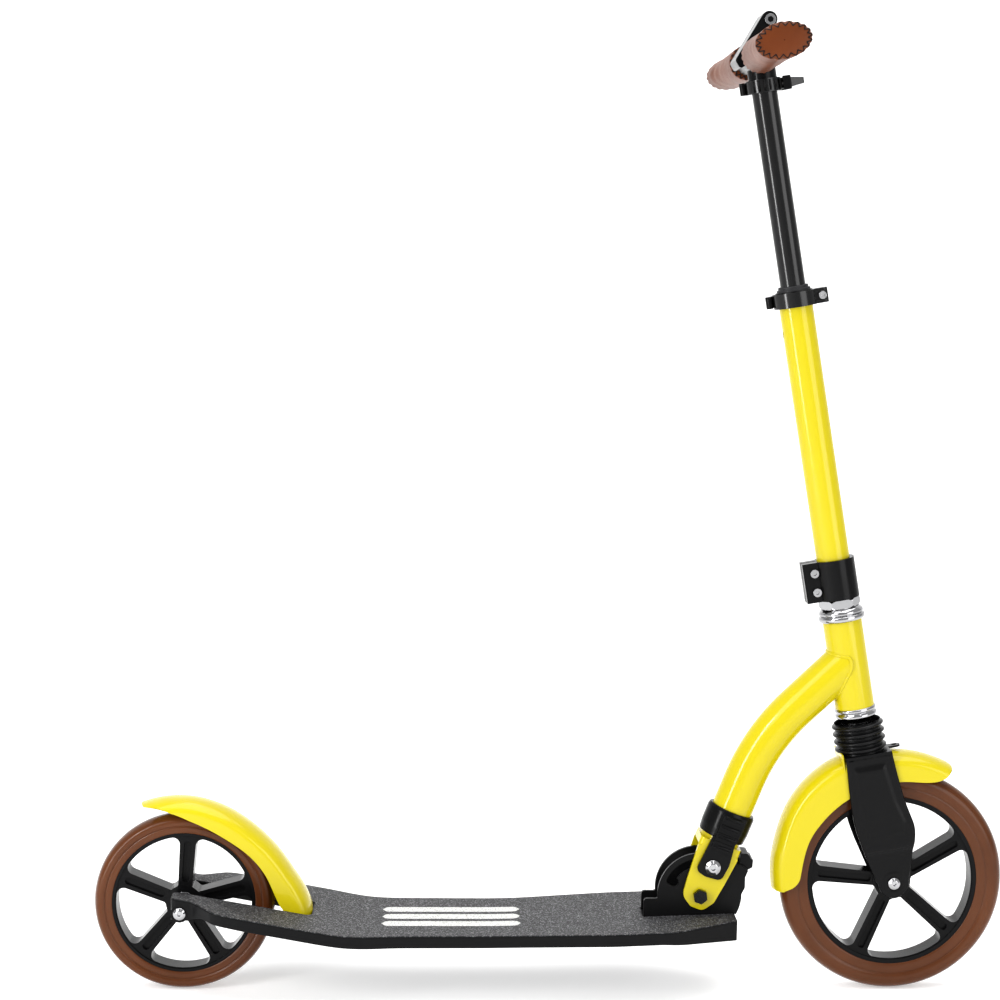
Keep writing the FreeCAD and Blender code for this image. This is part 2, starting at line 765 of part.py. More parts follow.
def stem_clamp():
    low, high = STEM_CLAMP_Z
    lug = box(-33.5, -10, -10.5, 10.5, low, high)
    clamp = fuse(rod(21.2, low, high), lug)
    clamp = clamp.cut(rod(OUTER_COLUMN[0], low - 1, high + 1))
    clamp = clamp.cut(box(-40, -10, -1.5, 1.5, low - 1, high + 1))
    bolts = []
    for z in (low + 10.5, high - 10.5):
        bolt_r = 2.5
        clamp = clamp.cut(rod_y(bolt_r, -20, 20, -22.5, z))
        head = rod_y(4.3, -14.0, -10.5, -22.5, z)
        head = head.makeFillet(1.0, [head.Edges[0]])
        shank = rod_y(bolt_r, -10.6, 12.5, -22.5, z)
        socket = rod_y(1.9, -15, -12, -22.5, z)
        bolts.append(fuse(shank, head).cut(socket))
    add("stem_clamp", clamp, STEER_FRAME)
    add("stem_clamp_bolts", bolts, STEER_FRAME)


def outer_column():
    shell = tube(OUTER_COLUMN, *OUTER_COLUMN_Z)
    shell = shell.cut(rod_x(3.4, -30, 0, 0, BUTTON_Z))
    shell = shell.cut(box(-30, 0, -1.2, 1.2, OUTER_COLUMN_Z[0] - 1, OUTER_COLUMN_Z[0] + 30))
    shell = shell.cut(box(0, 30, -1.2, 1.2, OUTER_COLUMN_Z[1] - 26, OUTER_COLUMN_Z[1] + 1))
    add("outer_column", shell, STEER_FRAME)
    low = OUTER_COLUMN_Z[1]
    inner_r = INNER_COLUMN[0] + RUN
    bush = ring_z([
        (inner_r, low - 24, 0),
        (OUTER_COLUMN[1], low - 24, 0),
        (OUTER_COLUMN[1], low, 0),
        (17.0, low, 0.3),
        (17.0, low + 2.5, 0.6),
        (15.2, low + 2.5, 0),
        (15.2, low + 5.5, 0.8),
        (inner_r, low + 5.5, 0),
    ])
    add("column_bush", bush, STEER_FRAME)


LEVER_PIVOT_Y = 15.1
LEVER_HUB_R = 6.2
BARREL_R = 3.4


def quick_clamp(name, bore_r, ring_r, z_range, boss_x, nose, head_y):
    """A split ring closed at its front by a skewer; the nose lists (x, half height) forwards."""
    low, high = z_range
    middle = (low + high) / 2
    end = nose[-1][0]
    plan = plan_prism([
        (8, -8.5, 0),
        (boss_x + 3, -8.5, 2),
        (end, -5.0, 2),
        (end, 5.0, 2),
        (boss_x + 3, 8.5, 2),
        (8, 8.5, 0),
    ], low, high)
    profile = [(8, low, 0)] + [(x, middle - h, 0) for x, h in nose]
    profile += [(x, middle + h, 0) for x, h in reversed(nose)] + [(8, high, 0)]
    ring = fuse(rod(ring_r, low, high), plan.common(side_prism(profile, -12, 12)))
    ring = ring.cut(rod(bore_r, low - 1, high + 1))
    ring = ring.cut(box(8, end + 1, -1.2, 1.2, low - 1, high + 1))
    skewer_r = 2.5
    head_r = 3.9
    ring = ring.cut(rod_y(skewer_r, -20, 20, boss_x, middle))
    window = box(boss_x - 9.5, boss_x + head_r + 0.4, -20, head_y + 3.2, middle - 4.2, middle + 4.2)
    add(name + "_ring", ring.cut(window.cut(rod(ring_r - 1.5, low, high))), STEER_FRAME)
    skewer = rod_y(skewer_r, head_y + 3.0, LEVER_PIVOT_Y, boss_x, middle)
    head = rod_y(head_r, head_y, head_y + 3.2, boss_x, middle)
    head = head.cut(rod_y(1.8, head_y - 1, head_y + 1.8, boss_x, middle))
    barrel = rod(BARREL_R, middle - 4.5, middle + 4.5, boss_x, LEVER_PIVOT_Y)
    add(name + "_skewer", fuse(skewer, head, barrel), STEER_FRAME)


def cam_lever(name, z_range, boss_x, inner_r, outer_r, end_angle):
    """A lever hooked over the skewer's barrel, curved round the far side of its ring."""
    middle = (z_range[0] + z_range[1]) / 2
    low = middle - 6.0
    high = middle + 6.0
    start = math.degrees(math.atan2(LEVER_PIVOT_Y, boss_x))

    def polar(r, degrees):
        angle = math.radians(degrees)
        return (r * math.cos(angle), r * math.sin(angle), 0)

    wedge = [(0, 0, 0)] + [polar(60, start + 12 + (end_angle - start - 12) * k / 4) for k in range(5)]
    arm = tube((outer_r, inner_r), low, high).common(plan_prism(wedge, low, high))
    root = plan_prism([
        (boss_x, LEVER_PIVOT_Y + LEVER_HUB_R - 0.3, 0),
        polar(outer_r - 0.2, start + 30),
        polar(inner_r + 0.2, start + 14),
        (boss_x - 5.5, LEVER_PIVOT_Y - 2.6, 0),
    ], low, high)
    hub = rod(LEVER_HUB_R, low, high, boss_x, LEVER_PIVOT_Y)
    tip_x, tip_y, _ = polar((inner_r + outer_r) / 2, end_angle)
    tip = rod((outer_r - inner_r) * 0.9, low, high, tip_x, tip_y).cut(rod(inner_r, low, high))
    lever = fuse(hub, root, arm, tip)
    lever = lever.cut(rod(BARREL_R + RUN, low - 1, high + 1, boss_x, LEVER_PIVOT_Y))
    band = 2.5 + GAP
    skewer_sweep = [
        box(boss_x - band, boss_x + 10, 0, LEVER_PIVOT_Y, middle - band, middle + band),
        box(boss_x, boss_x + 10, 0, LEVER_PIVOT_Y + band + 2, middle - band, middle + band),
    ]
    add(name, lever.cut(skewer_sweep), STEER_FRAME)


def inner_column():
    shell = tube(INNER_COLUMN, *INNER_COLUMN_Z)
    shell = shell.cut(rod_x(2.9, -30, 0, 0, BUTTON_Z))
    add("inner_column", shell, STEER_FRAME)
    flush = INNER_COLUMN[0] - 0.1
    pin = rod_x(2.8, -flush, -5.6, 0, BUTTON_Z)
    flange = rod_x(4.0, -7.1, -5.6, 0, BUTTON_Z)
    add("height_button", fuse(pin, flange), STEER_FRAME)


# ---------------------------------------------------------------- handlebar

BAR_X = -5.5  # the crossbar's axis, behind the steering axis
SLEEVE_HALF = 36.0
GRIP_FROM = 45.0
GRIP_TO = 193.0


def crossbar():
    socket = rod(14.2, BAR_CLAMP_Z[1] + 0.5, BAR_Z)
    sleeve = rod_y(SLEEVE[0], -SLEEVE_HALF, SLEEVE_HALF, BAR_X, BAR_Z)
    tee = fuse(socket, sleeve)
    tee = tee.cut(rod_y(SLEEVE[1], -60, 60, BAR_X, BAR_Z))
    tee = tee.cut(rod(INNER_COLUMN[0], 700, INNER_COLUMN_Z[1]))
    for y in (-GRIP_BUTTON_Y, GRIP_BUTTON_Y):
        tee = tee.cut(rod(2.6, BAR_Z - 30, BAR_Z, BAR_X, y))
    add("crossbar_tee", tee, STEER_FRAME)

    bolt_x, bolt_z = BAR_X + 18.0, BAR_Z + 33.3
    wall = 2.5
    half = 22.0
    strap_outline = [
        (BAR_X - 21.5, BAR_Z, 4),
        (BAR_X - 18.0, BAR_Z - 9.0, 3),
        (BAR_X - 6.0, BAR_Z - 4.0, 3),
        (bolt_x + 11.2, bolt_z + 1.8, 7.8),
        (bolt_x - 1.8, bolt_z + 11.2, 7.8),
    ]
    strap = side_prism(strap_outline, -half, half)
    inside = strap.copy()
    inside.translate(Vector(wall * 1.3, 0, -wall))
    pocket = inside.common(box(-60, 60, -half + wall, half - wall, 700, 1000))
    strap = strap.cut(pocket)
    saddle = rod_y(SLEEVE[0], -40, 40, BAR_X, BAR_Z)
    strap = strap.cut(saddle)
    strap = strap.cut(rod_y(3.0, -40, 40, bolt_x, bolt_z))
    add("bar_bracket", max(strap.Solids, key=lambda s: s.Volume), STEER_FRAME)
    head = rod_y(5.4, -half - 4.0, -half, bolt_x, bolt_z)
    head = head.makeFillet(1.4, [head.Edges[0]])
    shank = rod_y(3.0, -half - 0.2, half + 2.0, bolt_x, bolt_z)
    add("bar_bracket_bolt", fuse(head, shank), STEER_FRAME)

    block = side_prism([
        (BAR_X + 12.0, BAR_Z - 9.0, 1),
        (BAR_X + 27.0, BAR_Z - 6.0, 4),
        (BAR_X + 27.0, BAR_Z + 20.0, 4),
        (BAR_X + 15.0, BAR_Z + 20.0, 3),
        (BAR_X + 2.0, BAR_Z + 16.0, 1),
        (BAR_X + 2.0, BAR_Z + 5.0, 1),
    ], -8.4, 8.4)
    block = block.cut([saddle, strap, socket])
    block = max(block.Solids, key=lambda s: s.Volume)
    screws = []
    for z in (BAR_Z + 1.0, BAR_Z + 13.0):
        x = BAR_X + 21.5
        block = block.cut(rod_y(2.0, -10, 10, x, z))
        head = rod_y(3.6, -10.6, -8.4, x, z)
        head = head.makeFillet(0.8, [head.Edges[0]])
        screws.append(fuse(head, rod_y(2.0, -8.6, 8.4, x, z)))
    add("bar_block", block, STEER_FRAME)
    add("bar_block_screws", screws, STEER_FRAME)


GRIP_BUTTON_Y = 23.0


def ellipse_wire(y, centre_x, centre_z, wide, tall, tilt):
    """An ellipse across the handlebar, wide along the tilted X direction."""
    curve = Part.Ellipse(Vector(0, 0, 0), max(wide, tall), min(wide, tall))
    wire = Part.Wire(curve.toShape())
    wire.rotate(Vector(0, 0, 0), Vector(1, 0, 0), 90)
    wire.rotate(Vector(0, 0, 0), Vector(0, 1, 0), -tilt)
    wire.translate(Vector(centre_x, y, centre_z))
    return wire


def grips():
    """Each grip: a tube that plugs into the crossbar, a snap button, and a flared leather grip."""
    tilt = 3.0
    stations = [
        (GRIP_FROM, 0.0, 18.6, 18.0),
        (GRIP_FROM + 40, 0.0, 18.8, 17.6),
        (GRIP_FROM + 95, 0.5, 21.0, 16.8),
        (GRIP_FROM + 130, 1.0, 25.4, 16.7),
        (GRIP_TO, 1.0, 26.3, 16.8),
    ]
    wires = []
    for y, shift, wide, tall in stations:
        wires.append(ellipse_wire(-y, BAR_X + shift, BAR_Z, wide, tall, tilt))
    body = Part.makeLoft(wires, True, False)
    near_grip = body.cut(rod_y(GRIP_TUBE[0], -GRIP_TO + 8, 0, BAR_X, BAR_Z))
    near_tube = tube_y(GRIP_TUBE[0], GRIP_TUBE[1], -GRIP_TO + 8, -3.0, BAR_X, BAR_Z)
    near_tube = near_tube.cut(rod(2.3, BAR_Z - 30, BAR_Z, BAR_X, -GRIP_BUTTON_Y))
    foot = GRIP_TUBE[0] - 0.1
    near_button = fuse(
        rod(2.2, BAR_Z - foot, BAR_Z - 3.8, BAR_X, -GRIP_BUTTON_Y),
        rod(3.4, BAR_Z - 5.3, BAR_Z - 3.8, BAR_X, -GRIP_BUTTON_Y),
    )
    for side, change in (("right", lambda s: s), ("left", mirrored)):
        add(side + "_grip", change(near_grip), STEER_FRAME)
        add(side + "_grip_tube", change(near_tube), STEER_FRAME)
        add(side + "_grip_button", change(near_button), STEER_FRAME)


# ---------------------------------------------------------------- fork

def fork():
    """Stamped fork: a crown plate with a bent leg each side, and the slider inside the steerer."""
    upper = (24.5, 27.5)
    lower = (20.0, 23.0)
    outline = side_prism([
        (-20.5, CROWN_Z[0], 0),
        (-22.5, 92, 120),
        (-21, 59, 90),
        (-8, 6, 30),
        (-3, -15, 15.5),
        (24, -16, 15.5),
        (30, 14, 30),
        (40.5, 55, 14),
        (34, 80, 40),
        (27, CROWN_Z[0], 0),
    ], 15, 35)
    profile = front_prism([
        (upper[0], CROWN_Z[0], 0),
        (upper[0], 40, 4),
        (lower[0], 31, 4),
        (lower[0], -30, 0),
        (lower[1], -30, 0),
        (lower[1], 30, 4),
        (upper[1], 39, 4),
        (upper[1], CROWN_Z[0], 0),
    ], -60, 60)
    leg = outline.common(profile)
    panel_face = [
        (-13, 122, 5),
        (-14.5, 88, 60),
        (-12, 55, 12),
        (28, 53, 5),
        (31, 62, 8),
        (23, 84, 30),
        (17, 122, 5),
    ]
    panel = side_prism(panel_face, upper[1] - 0.5, upper[1] + 1.2)
    leg = fuse(leg, panel)
    leg = leg.cut(rod_y(AXLE_R, 0, 60, FORK_OFFSET, 0))
    add("fork_legs", both_sides(leg), STEER_FRAME)
    crown = box(-20.5, 27.0, -upper[1], upper[1], *CROWN_Z)
    top_edges = [
        e for e in crown.Edges
        if abs(e.BoundBox.ZMin - CROWN_Z[1]) < 0.01 and e.BoundBox.YLength < 0.01
    ]
    crown = crown.makeFillet(2.5, top_edges)
    eyelet = plan_prism([
        (20.0, -5.5, 1),
        (40.0, -5.5, 5.4),
        (40.0, 5.5, 5.4),
        (20.0, 5.5, 1),
    ], CROWN_Z[1] - 2.0, CROWN_Z[1])
    crown = fuse(crown, eyelet).cut(rod(2.8, 100, 160, 34.0, 0))
    add("fork_crown", crown, STEER_FRAME)

    slider_r = STEERER[1] - RUN
    slider = tube((slider_r, 9.0), CROWN_Z[1], 231.0)
    add("fork_slider", slider, STEER_FRAME)
    add("suspension_spring", coil(9.5, 1.5, 231.0, 301.0, 9), STEER_FRAME)
    pitch = 7.85
    low = CROWN_Z[1]
    corners = [(22.0, low + 0.05, 0)]
    for k in range(4):
        z = low + pitch * k
        corners.append((23.6, z + 0.05, 0))
        corners.append((26.4, z + 1.6, 1.6))
        corners.append((26.4, z + 5.6, 1.6))
        corners.append((23.6, z + 7.2, 0.3))
    corners.append((22.0, low + pitch * 4 - 0.2, 0))
    add("bellows", ring_z(corners), STEER_FRAME)

    axle("front", FRONT_WHEEL_FRAME, 23.0)
    spacer = tube_y(6.0, AXLE_R, 12.5 + GAP, lower[0])
    add("front_axle_spacers", both_sides(spacer), FRONT_WHEEL_FRAME)


# ---------------------------------------------------------------- all of it

wheel("front", FRONT_WHEEL_FRAME, FRONT_R, 87.3, 82.2, 19.0, 30.8)
wheel("rear", REAR_WHEEL_FRAME, REAR_R, 71.3, 67.4, 18.0, 14.5)
deck()
hinge_bracket()
rear_fender()
front_fender()
neck()
release_collar()
headset()
steerer()
stem_clamp()
outer_column()
quick_clamp("height_clamp", OUTER_COLUMN[0], 22.0, HEIGHT_CLAMP_Z, 27.0, [(33.0, 7.5)], -8.6)
cam_lever("height_clamp_lever", HEIGHT_CLAMP_Z, 27.0, 23.0, 27.5, 172.0)
inner_column()
BAR_NOSE = [(23.0, 4.6), (23.0, 6.5), (26.0, 6.5), (26.0, 4.8), (40.0, 2.9)]
quick_clamp("bar_clamp", INNER_COLUMN[0], 17.5, BAR_CLAMP_Z, 22.0, BAR_NOSE, -5.5)
cam_lever("bar_clamp_lever", BAR_CLAMP_Z, 22.0, 18.5, 22.5, 165.0)
crossbar()
grips()
fork()

os.makedirs("parts", exist_ok=True)
for name, shape in NODES.items():
    shape.exportStep("parts/" + name + ".step")
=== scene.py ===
import bpy
import itertools
import json
import math
from mathutils import Matrix, Vector


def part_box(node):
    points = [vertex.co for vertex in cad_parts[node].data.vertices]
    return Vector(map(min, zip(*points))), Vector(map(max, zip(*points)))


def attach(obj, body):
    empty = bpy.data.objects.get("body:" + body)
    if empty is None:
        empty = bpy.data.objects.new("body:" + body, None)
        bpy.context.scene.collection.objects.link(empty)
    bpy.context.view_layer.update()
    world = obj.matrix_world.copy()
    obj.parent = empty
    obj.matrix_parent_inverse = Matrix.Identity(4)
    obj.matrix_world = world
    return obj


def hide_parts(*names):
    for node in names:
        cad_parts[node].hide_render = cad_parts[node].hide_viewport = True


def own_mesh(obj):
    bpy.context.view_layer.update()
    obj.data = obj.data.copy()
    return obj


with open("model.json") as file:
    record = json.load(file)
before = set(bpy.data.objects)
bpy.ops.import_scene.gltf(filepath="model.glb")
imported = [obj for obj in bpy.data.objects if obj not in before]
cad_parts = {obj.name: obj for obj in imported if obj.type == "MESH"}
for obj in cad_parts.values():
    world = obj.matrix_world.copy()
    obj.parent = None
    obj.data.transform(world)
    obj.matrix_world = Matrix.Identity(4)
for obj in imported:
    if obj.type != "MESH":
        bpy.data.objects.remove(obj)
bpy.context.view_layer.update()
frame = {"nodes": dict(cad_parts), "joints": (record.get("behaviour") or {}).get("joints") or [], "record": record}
REC = frame["record"]
NODES = frame["nodes"]

MM = 0.001


# ---------------------------------------------------------------- materials

def new_material(name):
    m = bpy.data.materials.new(name)
    m.use_nodes = True
    nt = m.node_tree
    nt.nodes.clear()
    out = nt.nodes.new("ShaderNodeOutputMaterial")
    b = nt.nodes.new("ShaderNodeBsdfPrincipled")
    nt.links.new(b.outputs[0], out.inputs[0])
    return m, nt, b


def put(socket, value):
    socket.default_value = (*value, 1.0) if isinstance(value, tuple) and len(value) == 3 else value


def texture(nt, kind, scale):
    """A procedural texture node laid over the object's own coordinates."""
    n = nt.nodes.new(kind)
    n.inputs["Scale"].default_value = scale
    tc = nt.nodes.new("ShaderNodeTexCoord")
    nt.links.new(tc.outputs["Object"], n.inputs["Vector"])
    return n


def noise(nt, scale, detail=4.0, rough=0.5):
    n = texture(nt, "ShaderNodeTexNoise", scale)
    n.inputs["Detail"].default_value = detail
    n.inputs["Roughness"].default_value = rough
    return n.outputs["Fac"]


def remap(nt, fac, a, b, c, d):
    """Map the range a to b onto c to d."""
    n = nt.nodes.new("ShaderNodeMapRange")
    n.clamp = True
    for i, x in zip(("From Min", "From Max", "To Min", "To Max"), (a, b, c, d)):
        n.inputs[i].default_value = x
    nt.links.new(fac, n.inputs["Value"])
    return n.outputs["Result"]


def soft_edges(nt, radius=0.0006):
    """Normals rounded over sharp edges, as a real edge catches a line of light."""
    n = nt.nodes.new("ShaderNodeBevel")
    n.samples = 4
    n.inputs["Radius"].default_value = radius
    return n.outputs["Normal"]


def bump(nt, b, height, strength, distance):
    n = nt.nodes.new("ShaderNodeBump")
    nt.links.new(soft_edges(nt), n.inputs["Normal"])
    n.inputs["Strength"].default_value = strength
    n.inputs["Distance"].default_value = distance
    nt.links.new(height, n.inputs["Height"])
    nt.links.new(n.outputs[0], b.inputs["Normal"])


def ramp(nt, fac, stops):
    """Colours along a factor; stops are (position, colour)."""
    n = nt.nodes.new("ShaderNodeValToRGB")
    e = n.color_ramp.elements
    while len(e) < len(stops):
        e.new(0.5)
    for el, (pos, col) in zip(e, stops):
        el.position = pos
        el.color = (*col, 1.0)
    nt.links.new(fac, n.inputs[0])
    return n.outputs[0]


def gloss_paint(name, color, rough=0.18, peel=0.02):
    m, nt, b = new_material(name)
    put(b.inputs["Base Color"], color)
    b.inputs["Roughness"].default_value = rough
    b.inputs["Specular IOR Level"].default_value = 0.25
    b.inputs["Coat Weight"].default_value = 0.32
    b.inputs["Coat Roughness"].default_value = 0.04
    bump(nt, b, noise(nt, 260.0, 2.0), peel, 0.0004)
    return m


def satin_black(name, level=0.018, rough=0.36, grain=900.0, strength=0.06, shine=0.2):
    m, nt, b = new_material(name)
    put(b.inputs["Base Color"], (level, level, level * 1.06))
    b.inputs["Specular IOR Level"].default_value = shine
    wear = noise(nt, 38.0, 3.0)
    r = remap(nt, wear, 0.3, 0.7, rough * 0.85, rough * 1.15)
    nt.links.new(r, b.inputs["Roughness"])
    bump(nt, b, noise(nt, grain, 3.0), strength, 0.0002)
    return m


def metal(name, color, rough, grain=300.0, spread=0.1):
    m, nt, b = new_material(name)
    put(b.inputs["Base Color"], color)
    b.inputs["Metallic"].default_value = 1.0
    nt.links.new(soft_edges(nt, 0.0004), b.inputs["Normal"])
    r = remap(nt, noise(nt, grain, 3.0), 0.3, 0.7, max(0.02, rough - spread), rough + spread)
    nt.links.new(r, b.inputs["Roughness"])
    return m


def urethane():
    m, nt, b = new_material("tyre_urethane")
    n = noise(nt, 14.0, 3.0)
    col = ramp(nt, n, [(0.3, (0.082, 0.027, 0.009)), (0.7, (0.112, 0.039, 0.014))])
    nt.links.new(col, b.inputs["Base Color"])
    b.inputs["Roughness"].default_value = 0.22
    b.inputs["Subsurface Weight"].default_value = 0.12
    b.inputs["Subsurface Radius"].default_value = (0.012, 0.004, 0.0015)
    b.inputs["Subsurface Scale"].default_value = 0.6
    b.inputs["Specular IOR Level"].default_value = 0.2
    b.inputs["Coat Weight"].default_value = 0.1
    b.inputs["Coat Roughness"].default_value = 0.12
    bump(nt, b, noise(nt, 120.0, 2.0), 0.03, 0.0004)
    return m


def leather():
    m, nt, b = new_material("leather")
    n = noise(nt, 22.0, 5.0)
    col = ramp(nt, n, [(0.28, (0.095, 0.023, 0.004)), (0.72, (0.142, 0.036, 0.007))])
    nt.links.new(col, b.inputs["Base Color"])
    b.inputs["Roughness"].default_value = 0.40
    b.inputs["Specular IOR Level"].default_value = 0.22
    b.inputs["Coat Weight"].default_value = 0.04
    b.inputs["Coat Roughness"].default_value = 0.35
    v = texture(nt, "ShaderNodeTexVoronoi", 950.0)
    v.feature = "DISTANCE_TO_EDGE"
    h = remap(nt, v.outputs["Distance"], 0.0, 0.12, 0.0, 1.0)
    bump(nt, b, h, 0.22, 0.0003)
    return m


def grit():
    m, nt, b = new_material("grip_grit")
    v = texture(nt, "ShaderNodeTexVoronoi", 900.0)
    stops = [(0.0, (0.010, 0.010, 0.011)), (0.60, (0.030, 0.030, 0.032)), (0.92, (0.22, 0.22, 0.23))]
    col = ramp(nt, v.outputs["Color"], stops)
    nt.links.new(col, b.inputs["Base Color"])
    b.inputs["Roughness"].default_value = 0.62
    bump(nt, b, v.outputs["Distance"], 0.7, 0.0006)
    return m


YELLOW = (0.52, 0.435, 0.007)
MATS = {  # one for each of the record's material slots
    "gloss_yellow": gloss_paint("yellow_paint", YELLOW),
    "yellow_plastic": gloss_paint("yellow_plastic", YELLOW, 0.22),
    "black_deck": satin_black("black_deck", 0.007, 0.34, shine=0.13),
    "black_metal": satin_black("black_metal", 0.006, 0.22, shine=0.15),
    "black_plastic": satin_black("black_plastic", 0.006, 0.20, 500.0, 0.03, 0.13),
    "tyre_brown": urethane(),
    "grip_leather": leather(),
    "grit_tape": grit(),
    "bellows_rubber": satin_black("bellows_rubber", 0.007, 0.24, 700.0, 0.02),
    "polished": metal("polished", (0.42, 0.42, 0.43), 0.07, 300.0, 0.03),
    "zinc_steel": metal("zinc_steel", (0.62, 0.62, 0.63), 0.22, 300.0, 0.08),
    "black_steel": metal("black_steel", (0.02, 0.02, 0.021), 0.26, 300.0, 0.08),
    "nylon": satin_black("nylon", 0.03, 0.45),
}

COLUMN_BLACK = satin_black("column_black", 0.005, 0.17, 700.0, 0.02, 0.45)
GLOSSY_NODES = ("inner_column", "bar_clamp_ring", "height_clamp_ring")


def dress(obj, slot_name):
    obj.data.materials.clear()
    obj.data.materials.append(MATS[slot_name])


for part in REC["subparts"]:
    node = NODES[part["node"]]
    node.data.materials.clear()
    glossy = part["node"] in GLOSSY_NODES
    node.data.materials.append(COLUMN_BLACK if glossy else MATS[part["material_slot"]])


# ---------------------------------------------------------------- local frames

JOINTS = {j["name"]: j for j in frame["joints"]}
UP = Vector(JOINTS["steer"]["axis"]).normalized()
AHEAD = Vector((UP.z, 0.0, -UP.x))
FRONT_AXLE = Vector(JOINTS["front_wheel_spin"]["pos_m"])
REAR_AXLE = Vector(JOINTS["rear_wheel_spin"]["pos_m"])
FORK_OFFSET = 10.0  # front axle ahead of the steering axis, in mm
FORK_FOOT = FRONT_AXLE - AHEAD * (FORK_OFFSET * MM)
PIVOT = Vector(JOINTS["fold"]["pos_m"])
NECK_UP = Vector(JOINTS["fold_lock_slide"]["axis"]).normalized()
NECK_AHEAD = Vector((NECK_UP.z, 0.0, -NECK_UP.x))


def frame_matrix(origin, ahead, up):
    """Local frame with x ahead, y to the left and z up."""
    side = up.cross(ahead)
    return Matrix.Translation(origin) @ Matrix((ahead, side, up)).transposed().to_4x4()


STEER_M = frame_matrix(FORK_FOOT, AHEAD, UP)
NECK_M = frame_matrix(PIVOT, NECK_AHEAD, NECK_UP)


def mesh_object(name, verts, faces, smooth=True):
    me = bpy.data.meshes.new(name)
    me.from_pydata([tuple(v) for v in verts], [], faces)
    me.validate()
    me.update()
    if smooth:
        me.shade_smooth()
    ob = bpy.data.objects.new(name, me)
    bpy.context.scene.collection.objects.link(ob)
    return ob


def grid_faces(rows, cols, wrap_cols=False, wrap_rows=False, flip=False):
    """Quads between rows of points, with the last row or column joined to the first where it wraps."""
    faces = []
    for i in range(rows if wrap_rows else rows - 1):
        for j in range(cols if wrap_cols else cols - 1):
            a = i * cols + j
            b = i * cols + (j + 1) % cols
            c = ((i + 1) % rows) * cols + (j + 1) % cols
            d = ((i + 1) % rows) * cols + j
            faces.append((a, d, c, b) if flip else (a, b, c, d))
    return faces


def lathe(name, profile, matrix, axis="z", segments=192):
    """A closed or open (radius, height) profile turned about the local axis of a matrix."""
    verts = []
    for r, h in profile:
        for k in range(segments):
            a = 2 * math.pi * k / segments
            u, v = r * math.cos(a), r * math.sin(a)
            verts.append(matrix @ Vector((u, v, h) if axis == "z" else (u, h, v)))
    return mesh_object(name, verts, grid_faces(len(profile), segments, True, False, axis == "y"))


OBLIQUE = Vector((0.31, 0.52, 0.79))  # parallel to no thread or rib


def tube_along(name, points, radius, sides=10, closed=False):
    """A round thread or wire through points."""
    n = len(points)
    verts = []
    for i, p in enumerate(points):
        before = points[i - 1] if i > 0 or closed else points[i]
        after = points[(i + 1) % n] if i < n - 1 or closed else points[i]
        along = (after - before).normalized()
        side = along.cross(OBLIQUE).normalized()
        third = along.cross(side)
        for k in range(sides):
            a = 2 * math.pi * k / sides
            verts.append(p + side * (radius * math.cos(a)) + third * (radius * math.sin(a)))
    faces = grid_faces(n, sides, True, closed)
    if not closed:
        faces.append(tuple(range(sides)))
        faces.append(tuple(reversed(range((n - 1) * sides, n * sides))))
    return mesh_object(name, verts, faces)


def join(name, objects):
    """One mesh object in place of several."""
    verts = []
    faces = []
    for ob in objects:
        base = len(verts)
        verts.extend(ob.matrix_world @ v.co for v in ob.data.vertices)
        faces.extend(tuple(base + i for i in f.vertices) for f in ob.data.polygons)
    for ob in objects:
        bpy.data.objects.remove(ob)
    return mesh_object(name, verts, faces)


def smoothstep(a, b, x):
    t = min(1.0, max(0.0, (x - a) / (b - a)))
    return t * t * (3 - 2 * t)


def interpolate(table, x):
    """Smooth value at x from rows of (x, value, ...)."""
    if x <= table[0][0]:
        return table[0][1:]
    for low, high in zip(table, table[1:]):
        if x <= high[0]:
            t = smoothstep(low[0], high[0], x)
            return tuple(a + (b - a) * t for a, b in zip(low[1:], high[1:]))
    return table[-1][1:]


# ---------------------------------------------------------------- grips

GRIP_ROWS = [  # distance from the centre, shift ahead, half width, half height, in mm
    (45.0, 0.0, 18.4, 17.8),
    (85.0, 0.0, 18.6, 17.4),
    (125.0, 0.3, 20.0, 16.6),
    (150.0, 0.6, 22.2, 16.2),
    (170.0, 0.9, 25.0, 16.2),
    (193.0, 1.0, 26.3, 16.6),
]
BAR_LOW, BAR_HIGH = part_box("left_grip_tube")
BAR_CENTRE = (Vector(BAR_LOW) + Vector(BAR_HIGH)) / 2 - FORK_FOOT
BAR_T, BAR_S = BAR_CENTRE.dot(AHEAD) / MM, BAR_CENTRE.dot(UP) / MM
GRIP_TILT = math.radians(3.0)
STITCHES = 20
# Rows of the two caps: (share of the sleeve's radius, how far the cap bulges there).
CAP_INNER = [(0.58, 1.6), (0.72, 1.5), (0.84, 1.2), (0.92, 0.6), (0.965, 0.2), (0.99, -0.1)]
CAP_OUTER = [(0.99, 0.1), (0.965, 0.7), (0.92, 1.3), (0.84, 2.0), (0.72, 2.5), (0.5, 2.9), (0.25, 3.1),
             (0.02, 3.1)]
SLEEVE_STEPS = 60
SLEEVE_INSET = 0.9  # the sleeve's first and last row, in from its ends
PUCKER_REACH = 5.0  # how far the stitching gathers the sleeve
PUCKER_DEPTH = 1.3
STITCH_STEPS = 10
STITCH_LENGTH = 4.0
THREAD_R = 0.5


def grip_point(side, y_mm, angle, out_mm=0.0):
    """A point on a grip's skin: y from the centre, angle round it, out_mm beyond the skin."""
    shift, wide, tall = interpolate(GRIP_ROWS, y_mm)
    x = (wide + out_mm) * math.cos(angle)
    z = (tall + out_mm) * math.sin(angle)
    c, s = math.cos(GRIP_TILT), math.sin(GRIP_TILT)
    local = Vector((BAR_T + shift + x * c - z * s, side * y_mm, BAR_S + x * s + z * c)) * MM
    return STEER_M @ local


